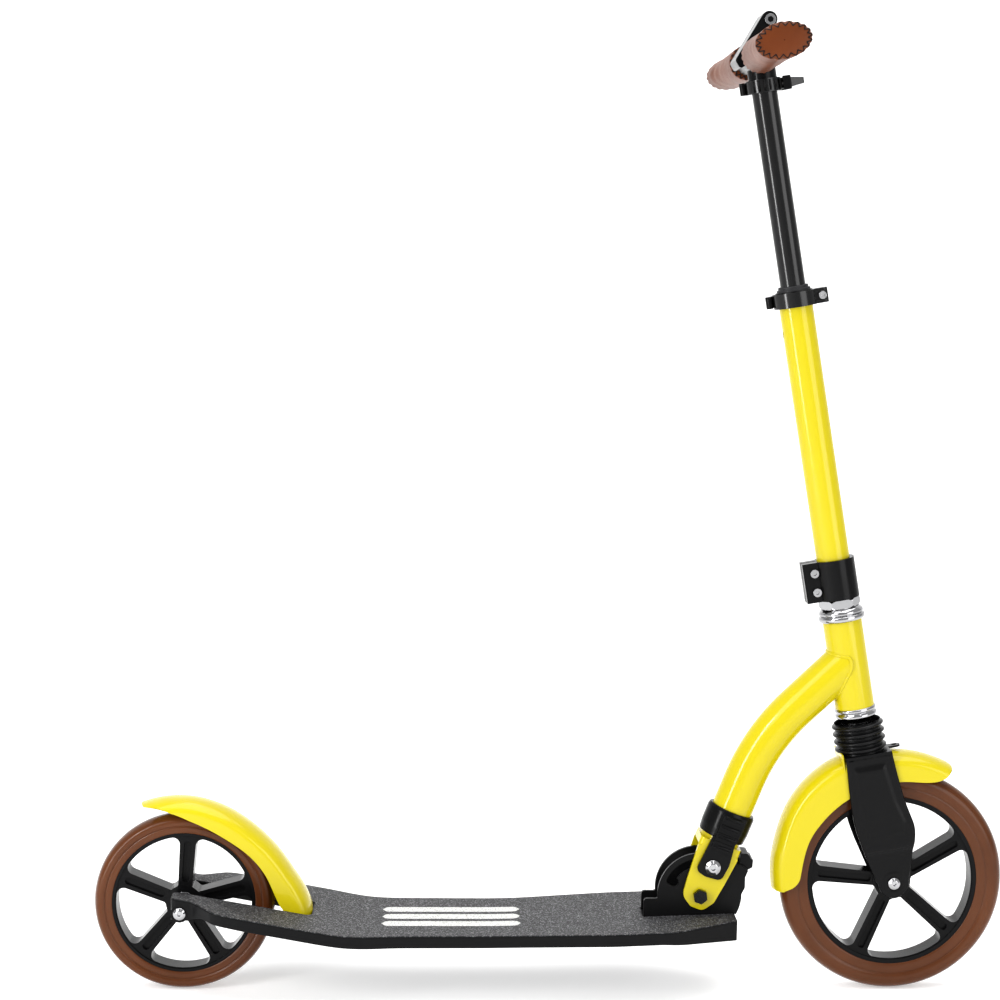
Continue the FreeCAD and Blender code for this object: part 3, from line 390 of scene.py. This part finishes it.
def grip_rows():
    """Rows of (y, share) along a grip: share 1 on the sleeve, near 0 at the middle of a cap."""
    inner, outer = GRIP_ROWS[0][0], GRIP_ROWS[-1][0]
    length = outer - inner - 2 * SLEEVE_INSET
    rows = [(inner - bulge * 0.5, share) for share, bulge in CAP_INNER]
    rows += [(inner + SLEEVE_INSET + length * k / SLEEVE_STEPS, 1.0) for k in range(SLEEVE_STEPS + 1)]
    rows += [(outer + bulge - 0.6, share) for share, bulge in CAP_OUTER]
    return rows


def grip(side, label):
    """A leather grip: an oval sleeve that widens outwards, gathered by the stitches at two round caps."""
    around = STITCHES * 8
    inner, outer = GRIP_ROWS[0][0], GRIP_ROWS[-1][0]
    rows = grip_rows()
    verts = []
    for y, share in rows:
        body = min(max(y, inner), outer)
        edge = max(0.0, 1.0 - min(body - inner, outer - body) / PUCKER_REACH)
        if share < 1.0:
            edge = smoothstep(0.72, 0.95, share)
        centre = grip_centre(side, body)
        for k in range(around):
            a = 2 * math.pi * k / around
            pucker = abs(math.cos(a * STITCHES / 2))
            out = -PUCKER_DEPTH * edge * (1 - pucker) ** 1.5 + 0.2 * edge * pucker
            out += 0.10 * math.sin(3 * a + y * 0.11) + 0.07 * math.sin(5 * a - y * 0.23)
            p = centre + (grip_point(side, body, a, out) - centre) * share
            p.y += side * (y - body) * MM
            verts.append(p)
    faces = grid_faces(len(rows), around, True, False, side < 0)
    skin = mesh_object(label + "_leather", verts, faces)
    dress(skin, "grip_leather")
    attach(skin, label + "_handgrip")
    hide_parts(label + "_grip")


def grip_centre(side, y_mm):
    """The middle of a grip's section at y."""
    shift = interpolate(GRIP_ROWS, y_mm)[0]
    return STEER_M @ (Vector((BAR_T + shift, side * y_mm, BAR_S)) * MM)


def zigzag(side, label, at_outer):
    """Thread that laces a round leather cap to the sleeve, back and forth over the edge."""
    edge = GRIP_ROWS[-1][0] if at_outer else GRIP_ROWS[0][0]
    sign = 1 if at_outer else -1
    points = []
    for k in range(STITCHES * 2):
        for i in range(STITCH_STEPS):
            f = i / STITCH_STEPS
            a = math.pi * (k + f) / STITCHES
            w = f if k % 2 == 0 else 1 - f  # 0 at the rim, 1 on the cap
            p = grip_point(side, edge, a, -0.3 - w * STITCH_LENGTH)
            p.y += side * sign * (0.2 + 1.6 * smoothstep(0.0, 1.0, w)) * MM
            points.append(p)
    return tube_along(label, points, THREAD_R * MM, 8, True)


def grip_thread(side, label):
    """Both laced seams of a grip."""
    threads = [zigzag(side, "t1", True), zigzag(side, "t2", False)]
    thread = join(label + "_thread", threads)
    thread.data.materials.append(THREAD)
    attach(thread, label + "_handgrip")


THREAD = satin_black("thread_black", 0.008, 0.6, 2500.0, 0.3)
for grip_side, grip_label in ((-1, "right"), (1, "left")):
    grip(grip_side, grip_label)
    grip_thread(grip_side, grip_label)


# ---------------------------------------------------------------- tyres

def tyre(label, centre, outer, bead):
    """Moulded urethane tyre: a stepped side wall, a fine ring in it and a round tread."""
    band = outer - bead
    half = [  # radius, half width, in mm
        (bead, 12.5),
        (bead + 0.4, 13.0),
        (bead + 1.6, 13.4),
        (bead + band * 0.30, 13.7),
        (bead + band * 0.34, 13.6),
        (bead + band * 0.355, 13.2),
        (bead + band * 0.37, 13.2),
        (bead + band * 0.39, 13.8),
        (bead + band * 0.44, 14.4),
        (bead + band * 0.52, 14.8),
        (bead + band * 0.60, 14.9),
        (bead + band * 0.68, 14.6),
        (bead + band * 0.76, 13.7),
        (bead + band * 0.84, 12.0),
        (bead + band * 0.91, 9.4),
        (bead + band * 0.96, 6.2),
        (bead + band * 0.99, 3.0),
        (outer - 0.05, 0.0),
    ]
    profile = [(r * MM, w * MM) for r, w in half]
    profile += [(r * MM, -w * MM) for r, w in reversed(half[:-1])]
    ob = lathe(label + "_tyre_skin", profile + [profile[0]], Matrix.Translation(centre), "y", 256)
    dress(ob, "tyre_brown")
    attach(ob, label + "_wheel")
    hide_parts(label + "_tyre")


tyre("front", FRONT_AXLE, 115.0, 87.3)
tyre("rear", REAR_AXLE, 90.0, 71.3)


# ---------------------------------------------------------------- fork legs

# A leg's two edges, in mm: (height above the axle, distance ahead of the steering axis).
LEG_TOP = 137.4
LEG_LEFT = [(6, -8.0), (20, -11.8), (40, -16.8), (59, -20.6), (75, -22.2), (95, -22.3), (118, -21.3),
            (LEG_TOP, -20.4)]
LEG_RIGHT = [(6, 27.8), (14, 29.9), (30, 34.2), (42, 37.4), (50, 38.9), (58, 38.9), (68, 36.8), (84, 33.2),
             (110, 29.6), (LEG_TOP, 26.9)]
LOBE = 15.8  # radius of the round end at the axle
LOBE_BLEND = 6  # height over which the round end runs into the edges
LEG_FACE = 23.0  # outer face beside the wheel, from the middle
LEG_STEP = 4.5  # how much further out it stands higher up
LEG_EDGE_R = 2.2
LEG_PLATE = 3.0
PANEL_RELIEF = 1.3
# The raised panel's corners: (ahead, height).
PANEL = [(-12.5, 124), (16.5, 124), (22.5, 86), (29.5, 62), (27.0, 52), (-8.0, 50), (-13.5, 66), (-14.0, 92)]


def spline(table, x):
    """Catmull-Rom value at x from rows of (x, value)."""
    if x <= table[0][0]:
        return table[0][1]
    if x >= table[-1][0]:
        return table[-1][1]
    k = max(i for i, row in enumerate(table) if row[0] <= x)
    x1, y1 = table[k]
    x2, y2 = table[k + 1]
    x0, y0 = table[max(k - 1, 0)]
    x3, y3 = table[min(k + 2, len(table) - 1)]
    t = (x - x1) / (x2 - x1)
    m1 = (y2 - y0) / (x2 - x0) * (x2 - x1)
    m2 = (y3 - y1) / (x3 - x1) * (x2 - x1)
    return ((2 * t ** 3 - 3 * t ** 2 + 1) * y1 + (t ** 3 - 2 * t ** 2 + t) * m1
            + (3 * t ** 2 - 2 * t ** 3) * y2 + (t ** 3 - t ** 2) * m2)


def inside_distance(polygon, x, y):
    """Signed distance from a point to a polygon's edge, positive inside."""
    best = 1e9
    inside = False
    for (x1, y1), (x2, y2) in zip(polygon, polygon[1:] + polygon[:1]):
        dx, dy = x2 - x1, y2 - y1
        t = max(0.0, min(1.0, ((x - x1) * dx + (y - y1) * dy) / (dx * dx + dy * dy)))
        best = min(best, math.hypot(x - x1 - t * dx, y - y1 - t * dy))
        if (y1 > y) != (y2 > y) and x < x1 + (y - y1) * dx / dy:
            inside = not inside
    return best if inside else -best


def leg_edges(s):
    """Where a leg begins and ends, measured ahead, at height s."""
    if s < LOBE_BLEND:
        share = min(1.0, max(-1.0, s / LOBE))
        reach = math.sqrt(max(0.0, 1 - share * share)) * LOBE if s < 0 else LOBE
        grow = smoothstep(0, LOBE_BLEND, s)
        left = FORK_OFFSET - reach
        right = FORK_OFFSET + reach
        return left + (LEG_LEFT[0][1] - left) * grow, right + (LEG_RIGHT[0][1] - right) * grow
    return spline(LEG_LEFT, s), spline(LEG_RIGHT, s)


def leg_face(left, right, t, s):
    """How far out a leg's face stands, with its panel, its rounded edge and the ring round the axle."""
    ring = math.hypot(t - FORK_OFFSET, s)
    face = LEG_FACE + LEG_STEP * smoothstep(29, 41, s)
    face += PANEL_RELIEF * smoothstep(-3.0, 2.6, inside_distance(PANEL, t, s))
    near = LOBE - ring if s < 0 else min(t - left, right - t)
    if near < LEG_EDGE_R:
        face -= LEG_EDGE_R * (1 - math.sqrt(max(0.0, 1 - (1 - near / LEG_EDGE_R) ** 2)))
    if s < 20:
        face += 0.5 * (smoothstep(12.6, 11.2, ring) - smoothstep(8.6, 7.4, ring))
    return face


def fork_leg(side, name):
    """A pressed leg plate, from the round end at the axle to the crown."""
    heights = [-LOBE * math.cos(math.radians(6 * k)) for k in range(16)]
    heights += [0.6 + 2.0 * k for k in range(69)]
    heights = [h for h in heights if h <= LEG_TOP] + [LEG_TOP]
    across = 48
    verts = []
    for s in heights:
        left, right = leg_edges(s)
        for k in range(across + 1):
            share = 0.5 - 0.5 * math.cos(math.pi * k / across)
            t = left + (right - left) * share
            verts.append(STEER_M @ (Vector((t, side * leg_face(left, right, t, s), s)) * MM))
    skin = mesh_object(name, verts, grid_faces(len(heights), across + 1, False, False, side > 0))
    shell = skin.modifiers.new("plate", "SOLIDIFY")
    shell.thickness = LEG_PLATE * MM
    shell.offset = -1.0
    return skin


def bellows():
    """The rubber gaiter: broad folds with a small one in each valley."""
    profile = []
    low, high = 137.6, 168.9
    pitch = 7.85
    steps = 96
    for k in range(steps + 1):
        z = low + (high - low) * k / steps
        wave = math.cos(2 * math.pi * ((z - low) / pitch - 0.5))
        big = max(0.0, wave + 0.25) ** 0.5
        small = max(0.0, -wave - 0.55)
        profile.append(((23.0 + 3.1 * big + 1.6 * small) * MM, z * MM))
    ob = lathe("bellows_skin", profile, STEER_M, "z", 128)
    dress(ob, "bellows_rubber")
    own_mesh(ob)
    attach(ob, "fork")
    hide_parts("bellows")


for leg_side, leg_label in ((-1, "right"), (1, "left")):
    leg = fork_leg(leg_side, leg_label + "_fork_leg")
    dress(leg, "black_metal")
    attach(leg, "fork")
    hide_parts("fork_legs")
bellows()


# ---------------------------------------------------------------- mudguards

# Outlines seen from the side: (degrees round the axle from straight ahead, radius in mm).
FRONT_CREST = [(64.0, 130.6), (66.0, 131.2), (78, 131.9), (91, 132.5), (105, 135.4), (117, 136.6),
               (127, 135.2), (142, 131.6), (160, 125.6), (178, 122.6), (184.5, 121.2)]
FRONT_HEM = [(64.0, 130.4), (64.6, 126.0), (66.0, 119.5), (69.5, 113.0), (76, 108.4), (89, 105.6),
             (105, 102.6), (120, 100.4), (138, 98.8), (153, 98.4), (166, 96.6), (176, 96.6), (180, 98.6),
             (183, 104.5), (184.2, 112.0), (184.5, 121.0)]
REAR_CREST = [(-9, 127.5), (-1.6, 125.0), (6.3, 118.6), (17, 110.3), (34, 103.7), (50.5, 100.9), (70, 101.6),
              (86, 103.5), (98.8, 104.9), (113.5, 106.4)]
REAR_HEM = [(-9, 108.0), (-4, 101.5), (1, 95.6), (9, 90.9), (21.7, 87.4), (35.5, 83.8), (52, 80.5),
            (66.6, 80.9), (84, 86.0), (97, 94.6), (105, 100.6), (110.5, 104.0), (112.9, 105.4),
            (113.5, 106.3)]
GUARD_HALF = 21.5
GUARD_SHEET = 2.2
SHOULDER = 9.5  # height of the rounded shoulder beside the crest
SHOULDER_RUN = SHOULDER * 1.6  # length along the sheet for each radian of the shoulder


def guard_section(top, foot, q):
    """Width and radius on the sheet's section, with q from -1 at one hem to 1 at the other."""
    depth = top - foot
    arc = math.acos(1 - min(1.0, depth / SHOULDER)) * SHOULDER_RUN
    run = abs(q) * (arc + max(0.0, depth - SHOULDER))
    if run <= arc:
        theta = run / SHOULDER_RUN
        y = GUARD_HALF * math.sin(theta)
        r = top - SHOULDER * (1 - math.cos(theta))
    else:
        y = GUARD_HALF
        r = top - SHOULDER - (run - arc)
    return math.copysign(y, q), r


def mudguard(name, centre, crest, hem, body, node):
    """A bent sheet over a wheel, between its crest and its hem."""
    first, last = crest[0][0], crest[-1][0]
    steps = 150
    across = 36
    verts = []
    for i in range(steps + 1):
        share = i / steps
        share = share + (0.5 - 0.5 * math.cos(math.pi * share) - share) * 0.6
        phi = first + (last - first) * share
        top = spline(crest, phi)
        foot = min(spline(hem, phi), top - 0.02)
        a = math.radians(phi)
        for k in range(across + 1):
            y, r = guard_section(top, foot, 2 * k / across - 1)
            verts.append(centre + Vector((r * math.cos(a), y, r * math.sin(a))) * MM)
    skin = mesh_object(name, verts, grid_faces(steps + 1, across + 1))
    shell = skin.modifiers.new("sheet", "SOLIDIFY")
    shell.thickness = GUARD_SHEET * MM
    shell.offset = 1.0
    rim = skin.modifiers.new("rim", "BEVEL")
    rim.width = 0.6 * MM
    rim.segments = 3
    rim.limit_method = "ANGLE"
    rim.angle_limit = math.radians(50)
    dress(skin, "yellow_plastic")
    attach(skin, body)
    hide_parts(node)


mudguard("front_mudguard", FRONT_AXLE, FRONT_CREST, FRONT_HEM, "fork", "front_fender")
mudguard("rear_mudguard", REAR_AXLE, REAR_CREST, REAR_HEM, "foot_brake", "rear_fender")


# ---------------------------------------------------------------- weld, collar ribs, stripes, cups

NECK_STRAIGHT = 0.122  # from the pivot to the start of the neck's bend, in metres like the rest of this group
NECK_BEND_R = 0.215
NECK_BEND = math.radians(25.0)
WELD_ON_NECK = 0.0208  # the bead's radius on the neck tube, just under its skin
WELD_ON_HEAD = 0.0197  # the same on the head tube
WELD_POINTS = 120
WELD_SIDES = 12
WELD_RIPPLES = 40
WELD_EASING = 14  # times that each point is averaged with its neighbours


def neck_end():
    """Centre and direction of the neck tube at the upper end of its bend."""
    start = PIVOT + NECK_UP * NECK_STRAIGHT
    centre = start + NECK_AHEAD * NECK_BEND_R
    outward = NECK_UP * math.sin(NECK_BEND) - NECK_AHEAD * math.cos(NECK_BEND)
    along = NECK_UP * math.cos(NECK_BEND) + NECK_AHEAD * math.sin(NECK_BEND)
    return centre + outward * NECK_BEND_R, along


def weld_line():
    """Where lines along the neck tube's skin meet the head tube, eased into a smooth loop."""
    centre, along = neck_end()
    side = Vector((0.0, 1.0, 0.0))
    third = along.cross(side)
    drift = along - UP * along.dot(UP)
    points = []
    for k in range(WELD_POINTS):
        a = 2 * math.pi * k / WELD_POINTS
        start = centre + (side * math.cos(a) + third * math.sin(a)) * WELD_ON_NECK
        offset = start - FORK_FOOT
        flat = offset - UP * offset.dot(UP)
        qa = drift.dot(drift)
        qb = 2 * flat.dot(drift)
        qc = flat.dot(flat) - WELD_ON_HEAD ** 2
        reach = (-qb - math.sqrt(max(0.0, qb * qb - 4 * qa * qc))) / (2 * qa)
        points.append(start + along * reach)
    for _ in range(WELD_EASING):
        after = points[1:] + points[:1]
        points = [(points[i - 1] + points[i] * 2 + after[i]) / 4 for i in range(WELD_POINTS)]
    return points


def weld_bead():
    """The rippled bead where the neck tube meets the head tube."""
    points = weld_line()
    bead = tube_along("neck_weld", points, 1.9 * MM, WELD_SIDES, True)
    for i, v in enumerate(bead.data.vertices):
        k = i // WELD_SIDES
        swell = 1.0 + 0.10 * math.sin(2 * math.pi * k * WELD_RIPPLES / WELD_POINTS)
        v.co = points[k] + (v.co - points[k]) * swell
    dress(bead, "gloss_yellow")
    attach(bead, "neck")


COLLAR_PAD_Y = 26.2
COLLAR_RIB_HEIGHTS = (55.5, 66.0, 76.5, 86.0)  # up the neck from the pivot
COLLAR_RIB_SPAN = (-8.4, -7.0, 9.2, 10.6)  # the first and last stretch dip into the pad


def collar_ribs():
    """Soft raised ribs across each pad of the release collar."""
    ribs = []
    for side in (-1, 1):
        for height in COLLAR_RIB_HEIGHTS:
            points = [NECK_M @ (Vector((x, side * COLLAR_PAD_Y, height)) * MM) for x in COLLAR_RIB_SPAN]
            for end in (0, -1):
                points[end].y -= side * 1.2 * MM
            ribs.append(tube_along("rib", points, 1.7 * MM, 12))
    rib = join("collar_ribs", ribs)
    dress(rib, "black_plastic")
    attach(rib, "fold_lock")


STRIPE_FROM, STRIPE_TO = 198, 338  # ahead of the rear axle
STRIPE_ROWS = (-24.0, 0.0, 24.0)
STRIPE_HALF = 8.0
PRINT_LIFT = 0.00012  # metres above the tape


def print_on_grit():
    """Pale print with dark specks of grit showing through."""
    m, nt, b = new_material("pale_print")
    n = noise(nt, 700.0, 3.0, 0.7)
    col = ramp(nt, n, [(0.36, (0.10, 0.10, 0.10)), (0.47, (0.62, 0.62, 0.60)), (0.7, (0.74, 0.74, 0.72))])
    nt.links.new(col, b.inputs["Base Color"])
    b.inputs["Roughness"].default_value = 0.55
    return m


def tape_height(world):
    """Height of the grip tape's top under a point."""
    tape = NODES["grip_tape"]
    hit, place, _, _ = tape.ray_cast(tape.matrix_world.inverted() @ world, Vector((0, 0, -1)))
    return (tape.matrix_world @ place).z if hit else 0.06


def deck_stripes():
    """Plain pale bars with round ends, printed on the grip tape."""
    columns, rows = 40, 8
    verts = []
    faces = []
    for y0 in STRIPE_ROWS:
        base = len(verts)
        for i in range(columns + 1):
            x = STRIPE_FROM + (STRIPE_TO - STRIPE_FROM) * i / columns
            end = min(x - STRIPE_FROM, STRIPE_TO - x, STRIPE_HALF)
            half = math.sqrt(max(0.04, STRIPE_HALF ** 2 - (STRIPE_HALF - end) ** 2))
            for j in range(rows + 1):
                y = y0 + half * (2 * j / rows - 1)
                above = Vector((REAR_AXLE.x + x * MM, y * MM, 0.5))
                verts.append(Vector((above.x, above.y, tape_height(above) + PRINT_LIFT)))
        for i in range(columns):
            for j in range(rows):
                k = base + i * (rows + 1) + j
                faces.append((k, k + rows + 1, k + rows + 2, k + 1))
    ob = mesh_object("deck_stripes", verts, faces)
    ob.data.materials.append(print_on_grit())
    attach(ob, "deck")


# Outer faces of the headset cups: (radius in mm, share of the cup's height).
UPPER_CUP = [(15.06, 0), (20.3, 0), (22.8, 0.06), (23.5, 0.16), (23.5, 0.38), (22.6, 0.45), (20.6, 0.48),
             (20.6, 0.52), (22.4, 0.55), (22.9, 0.62), (22.4, 0.76), (20.8, 0.90), (19.4, 0.99), (15.06, 1.0)]
LOWER_CUP = [(15.06, 0), (18.4, 0), (19.2, 0.05), (19.2, 0.26), (20.7, 0.32), (21.2, 0.40), (21.2, 0.58),
             (19.4, 0.64), (19.4, 0.70), (21.0, 0.76), (21.2, 0.84), (21.0, 0.95), (20.4, 1.0), (15.06, 1.0)]


def cup(node, rows):
    """A turned headset cup; rows are (radius, height share) of its outer face."""
    spans = [(v.co - FORK_FOOT).dot(UP) for v in NODES[node].data.vertices]
    foot, top = min(spans), max(spans)
    profile = [(r * MM, foot + (top - foot) * share) for r, share in rows]
    ob = lathe(node + "_skin", profile + [profile[0]], STEER_M, "z", 160)
    dress(ob, "polished")
    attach(ob, "neck")
    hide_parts(node)


def slab(name, low, high, edge):
    """A box with rounded edges, its corners given in mm in the steering frame."""
    corners = [Vector(corner) for corner in itertools.product(*zip(low, high))]
    faces = [(0, 1, 3, 2), (4, 6, 7, 5), (0, 4, 5, 1), (2, 3, 7, 6), (0, 2, 6, 4), (1, 5, 7, 3)]
    ob = mesh_object(name, [STEER_M @ (c * MM) for c in corners], faces, False)
    rim = ob.modifiers.new("rim", "BEVEL")
    rim.width = edge * MM
    rim.segments = 3
    return ob


def local_span(node):
    """Lowest and highest corner of a node along the steering frame, in mm."""
    turn = STEER_M.inverted()
    points = [turn @ v.co / MM for v in NODES[node].data.vertices]
    return [min(p[i] for p in points) for i in range(3)], [max(p[i] for p in points) for i in range(3)]


CLAMP_RIB_R = 17.6  # from the column's axis to the middle of a rib
CLAMP_RIBS = (-11.5, -6.8, -1.0, 4.2, 9.6)
CLAMP_LIP = [(17.02, -0.6), (18.6, -0.6), (18.9, 0.2), (18.3, 0.9), (17.02, 0.9)]


def clamp_ribs():
    """Moulded ribs on the near face of the bar clamp."""
    low, high = local_span("bar_clamp_ring")
    heights = (low[2] + 1.2, (low[2] + high[2]) / 2, high[2] - 1.2)
    ribs = []
    for t in CLAMP_RIBS:
        y = -math.sqrt(CLAMP_RIB_R ** 2 - t * t)
        ends = [STEER_M @ (Vector((t, y, z)) * MM) for z in heights]
        ribs.append(tube_along("rib", ends, 1.1 * MM, 10))
    rib = join("bar_clamp_ribs", ribs)
    dress(rib, "black_metal")
    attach(rib, "handlebar")


def clamp_ear():
    """The square ear beside the bar clamp's slit."""
    low, high = local_span("bar_clamp_ring")
    ear = slab("bar_clamp_ear", (18.4, -9.6, low[2] - 0.4), (26.4, -5.3, high[2] + 0.4), 0.9)
    dress(ear, "black_metal")
    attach(ear, "handlebar")


def clamp_lip():
    """The thin lip of the height clamp over the column's end."""
    top = local_span("height_clamp_ring")[1][2]
    profile = [(r * MM, (top + h) * MM) for r, h in CLAMP_LIP + CLAMP_LIP[:1]]
    ring = lathe("height_clamp_lip", profile, STEER_M)
    dress(ring, "black_metal")
    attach(ring, "steering_column")


def socket_shade_sheet():
    """A flat dark hexagon sheet on the bar bracket's bolt: painted shade in place of its recessed socket."""
    low, high = local_span("bar_bracket_bolt")
    t, s = (low[0] + high[0]) / 2, (low[2] + high[2]) / 2
    verts = []
    for r, y in ((0.0, 0.04), (2.7, 0.04), (3.1, 0.02)):
        for k in range(6):
            a = math.radians(60 * k + 12)
            verts.append(STEER_M @ (Vector((t + r * math.cos(a), low[1] - y, s + r * math.sin(a))) * MM))
    ob = mesh_object("bracket_bolt_socket_shade", verts, grid_faces(3, 6, True), False)
    # black steel here is painted shade: a dark sheet laid over the bolt face where the socket's recess would be
    # shaded
    dress(ob, "black_steel")
    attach(ob, "handlebar")


LUG_HALF = 23.5


def guard_tab():
    """The front mudguard's lug, bent up behind the crown."""
    low, high = local_span("fork_crown")
    foot = (low[0] - 3.4, -LUG_HALF, low[2] - 14.0)
    top = (low[0] - 1.4, LUG_HALF, high[2] + 3.5)
    lug = slab("front_mudguard_lug", foot, top, 0.7)
    dress(lug, "yellow_plastic")
    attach(lug, "fork")


def suspension_coil():
    """The fork's spring, as a mesh of its own that rides with the steering column."""
    source = NODES["suspension_spring"].data
    faces = [tuple(f.vertices) for f in source.polygons]
    ob = mesh_object("suspension_coil", [v.co for v in source.vertices], faces)
    dress(ob, "zinc_steel")
    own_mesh(ob)
    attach(ob, "steering_column")
    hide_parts("suspension_spring")


weld_bead()
suspension_coil()
clamp_ribs()
clamp_ear()
clamp_lip()
socket_shade_sheet()
guard_tab()
cup("upper_cup", UPPER_CUP)
cup("lower_cup", LOWER_CUP)
collar_ribs()
deck_stripes()


# ---------------------------------------------------------------- floor, light, camera

FLOOR_HALF = 14.0
FLOOR_FRONT, FLOOR_BACK = -12.0, 4.0  # the level part, from the camera's side to the start of the turn
FLOOR_TURN = 3.0
FLOOR_TOP = 14.0
FLOOR_DROP = 0.0002  # so that the tyres' lowest points don't lie in its plane


def stage_floor():
    """A pale paper sweep: level under the object, curving up behind it."""
    profile = [(FLOOR_FRONT, 0.0), (FLOOR_BACK, 0.0)]
    for degrees in range(6, 91, 6):
        a = math.radians(degrees)
        profile.append((FLOOR_BACK + FLOOR_TURN * math.sin(a), FLOOR_TURN * (1 - math.cos(a))))
    profile.append((FLOOR_BACK + FLOOR_TURN, FLOOR_TOP))
    verts = []
    for y, z in profile:
        verts.append(Vector((-FLOOR_HALF, y, z - FLOOR_DROP)))
        verts.append(Vector((FLOOR_HALF, y, z - FLOOR_DROP)))
    floor = mesh_object("floor", verts, grid_faces(len(profile), 2, False, False, True))
    m, nt, b = new_material("floor_paper")
    put(b.inputs["Base Color"], (0.80, 0.80, 0.80))
    b.inputs["Roughness"].default_value = 0.9
    put(b.inputs["Emission Color"], (1.0, 1.0, 1.0))
    b.inputs["Emission Strength"].default_value = 0.32
    floor.data.materials.append(m)


def area_light(name, place, aim, power, width, height):
    """A rectangular soft box at a place, facing a point."""
    data = bpy.data.lights.new(name, "AREA")
    data.shape = "RECTANGLE"
    data.size = width
    data.size_y = height
    data.energy = power
    lamp = bpy.data.objects.new(name, data)
    bpy.context.scene.collection.objects.link(lamp)
    lamp.location = place
    lamp.rotation_mode = "QUATERNION"
    lamp.rotation_quaternion = (Vector(aim) - Vector(place)).to_track_quat("-Z", "Y")


CAMERA_PLACE = (-0.1135, -2.199, 0.748)
CAMERA_YAW, CAMERA_PITCH, CAMERA_ROLL = math.radians(3.96), math.radians(6.38), math.radians(1.29)
SENSOR = 36.0
LENS = 2.215 * SENSOR
CAMERA_SHIFT = -0.1


def camera():
    """The viewpoint: beside the scooter, a little behind the middle and looking slightly down."""
    data = bpy.data.cameras.new("camera")
    cam = bpy.data.objects.new("camera", data)
    bpy.context.scene.collection.objects.link(cam)
    cy, sy = math.cos(CAMERA_YAW), math.sin(CAMERA_YAW)
    cp, sp = math.cos(CAMERA_PITCH), math.sin(CAMERA_PITCH)
    forward = Vector((sy * cp, cy * cp, -sp))
    level = Vector((cy, -sy, 0.0))
    upright = level.cross(forward)
    right = level * math.cos(CAMERA_ROLL) + upright * math.sin(CAMERA_ROLL)
    up = upright * math.cos(CAMERA_ROLL) - level * math.sin(CAMERA_ROLL)
    turn = Matrix((right, up, -forward)).transposed()
    cam.matrix_world = Matrix.Translation(CAMERA_PLACE) @ turn.to_4x4()
    data.sensor_width = SENSOR
    data.lens = LENS
    data.shift_x = CAMERA_SHIFT
    data.clip_start = 0.05
    data.clip_end = 50.0
    bpy.context.scene.camera = cam


stage_floor()
area_light("key", (-1.9, -2.0, 2.3), (0.0, 0.0, 0.4), 20.0, 1.4, 1.6)
area_light("top", (0.2, -0.1, 3.2), (0.0, 0.0, 0.3), 74.0, 3.4, 3.0)
area_light("fill", (1.9, -2.0, 0.95), (0.2, 0.0, 0.6), 22.0, 1.5, 1.8)
area_light("strip_left", (-1.75, -1.4, 0.75), (0.1, 0.0, 0.5), 30.0, 0.32, 1.9)
area_light("back", (0.0, 3.0, 2.6), (0.0, 6.0, 1.0), 90.0, 4.0, 1.5)
world = bpy.data.worlds.new("studio")
world.use_nodes = True
background = world.node_tree.nodes["Background"]
background.inputs["Color"].default_value = (1.0, 1.0, 1.0, 1.0)
background.inputs["Strength"].default_value = 0.50
bpy.context.scene.world = world
bpy.context.scene.view_settings.view_transform = "Standard"
bpy.context.scene.view_settings.look = "Medium High Contrast"
camera()
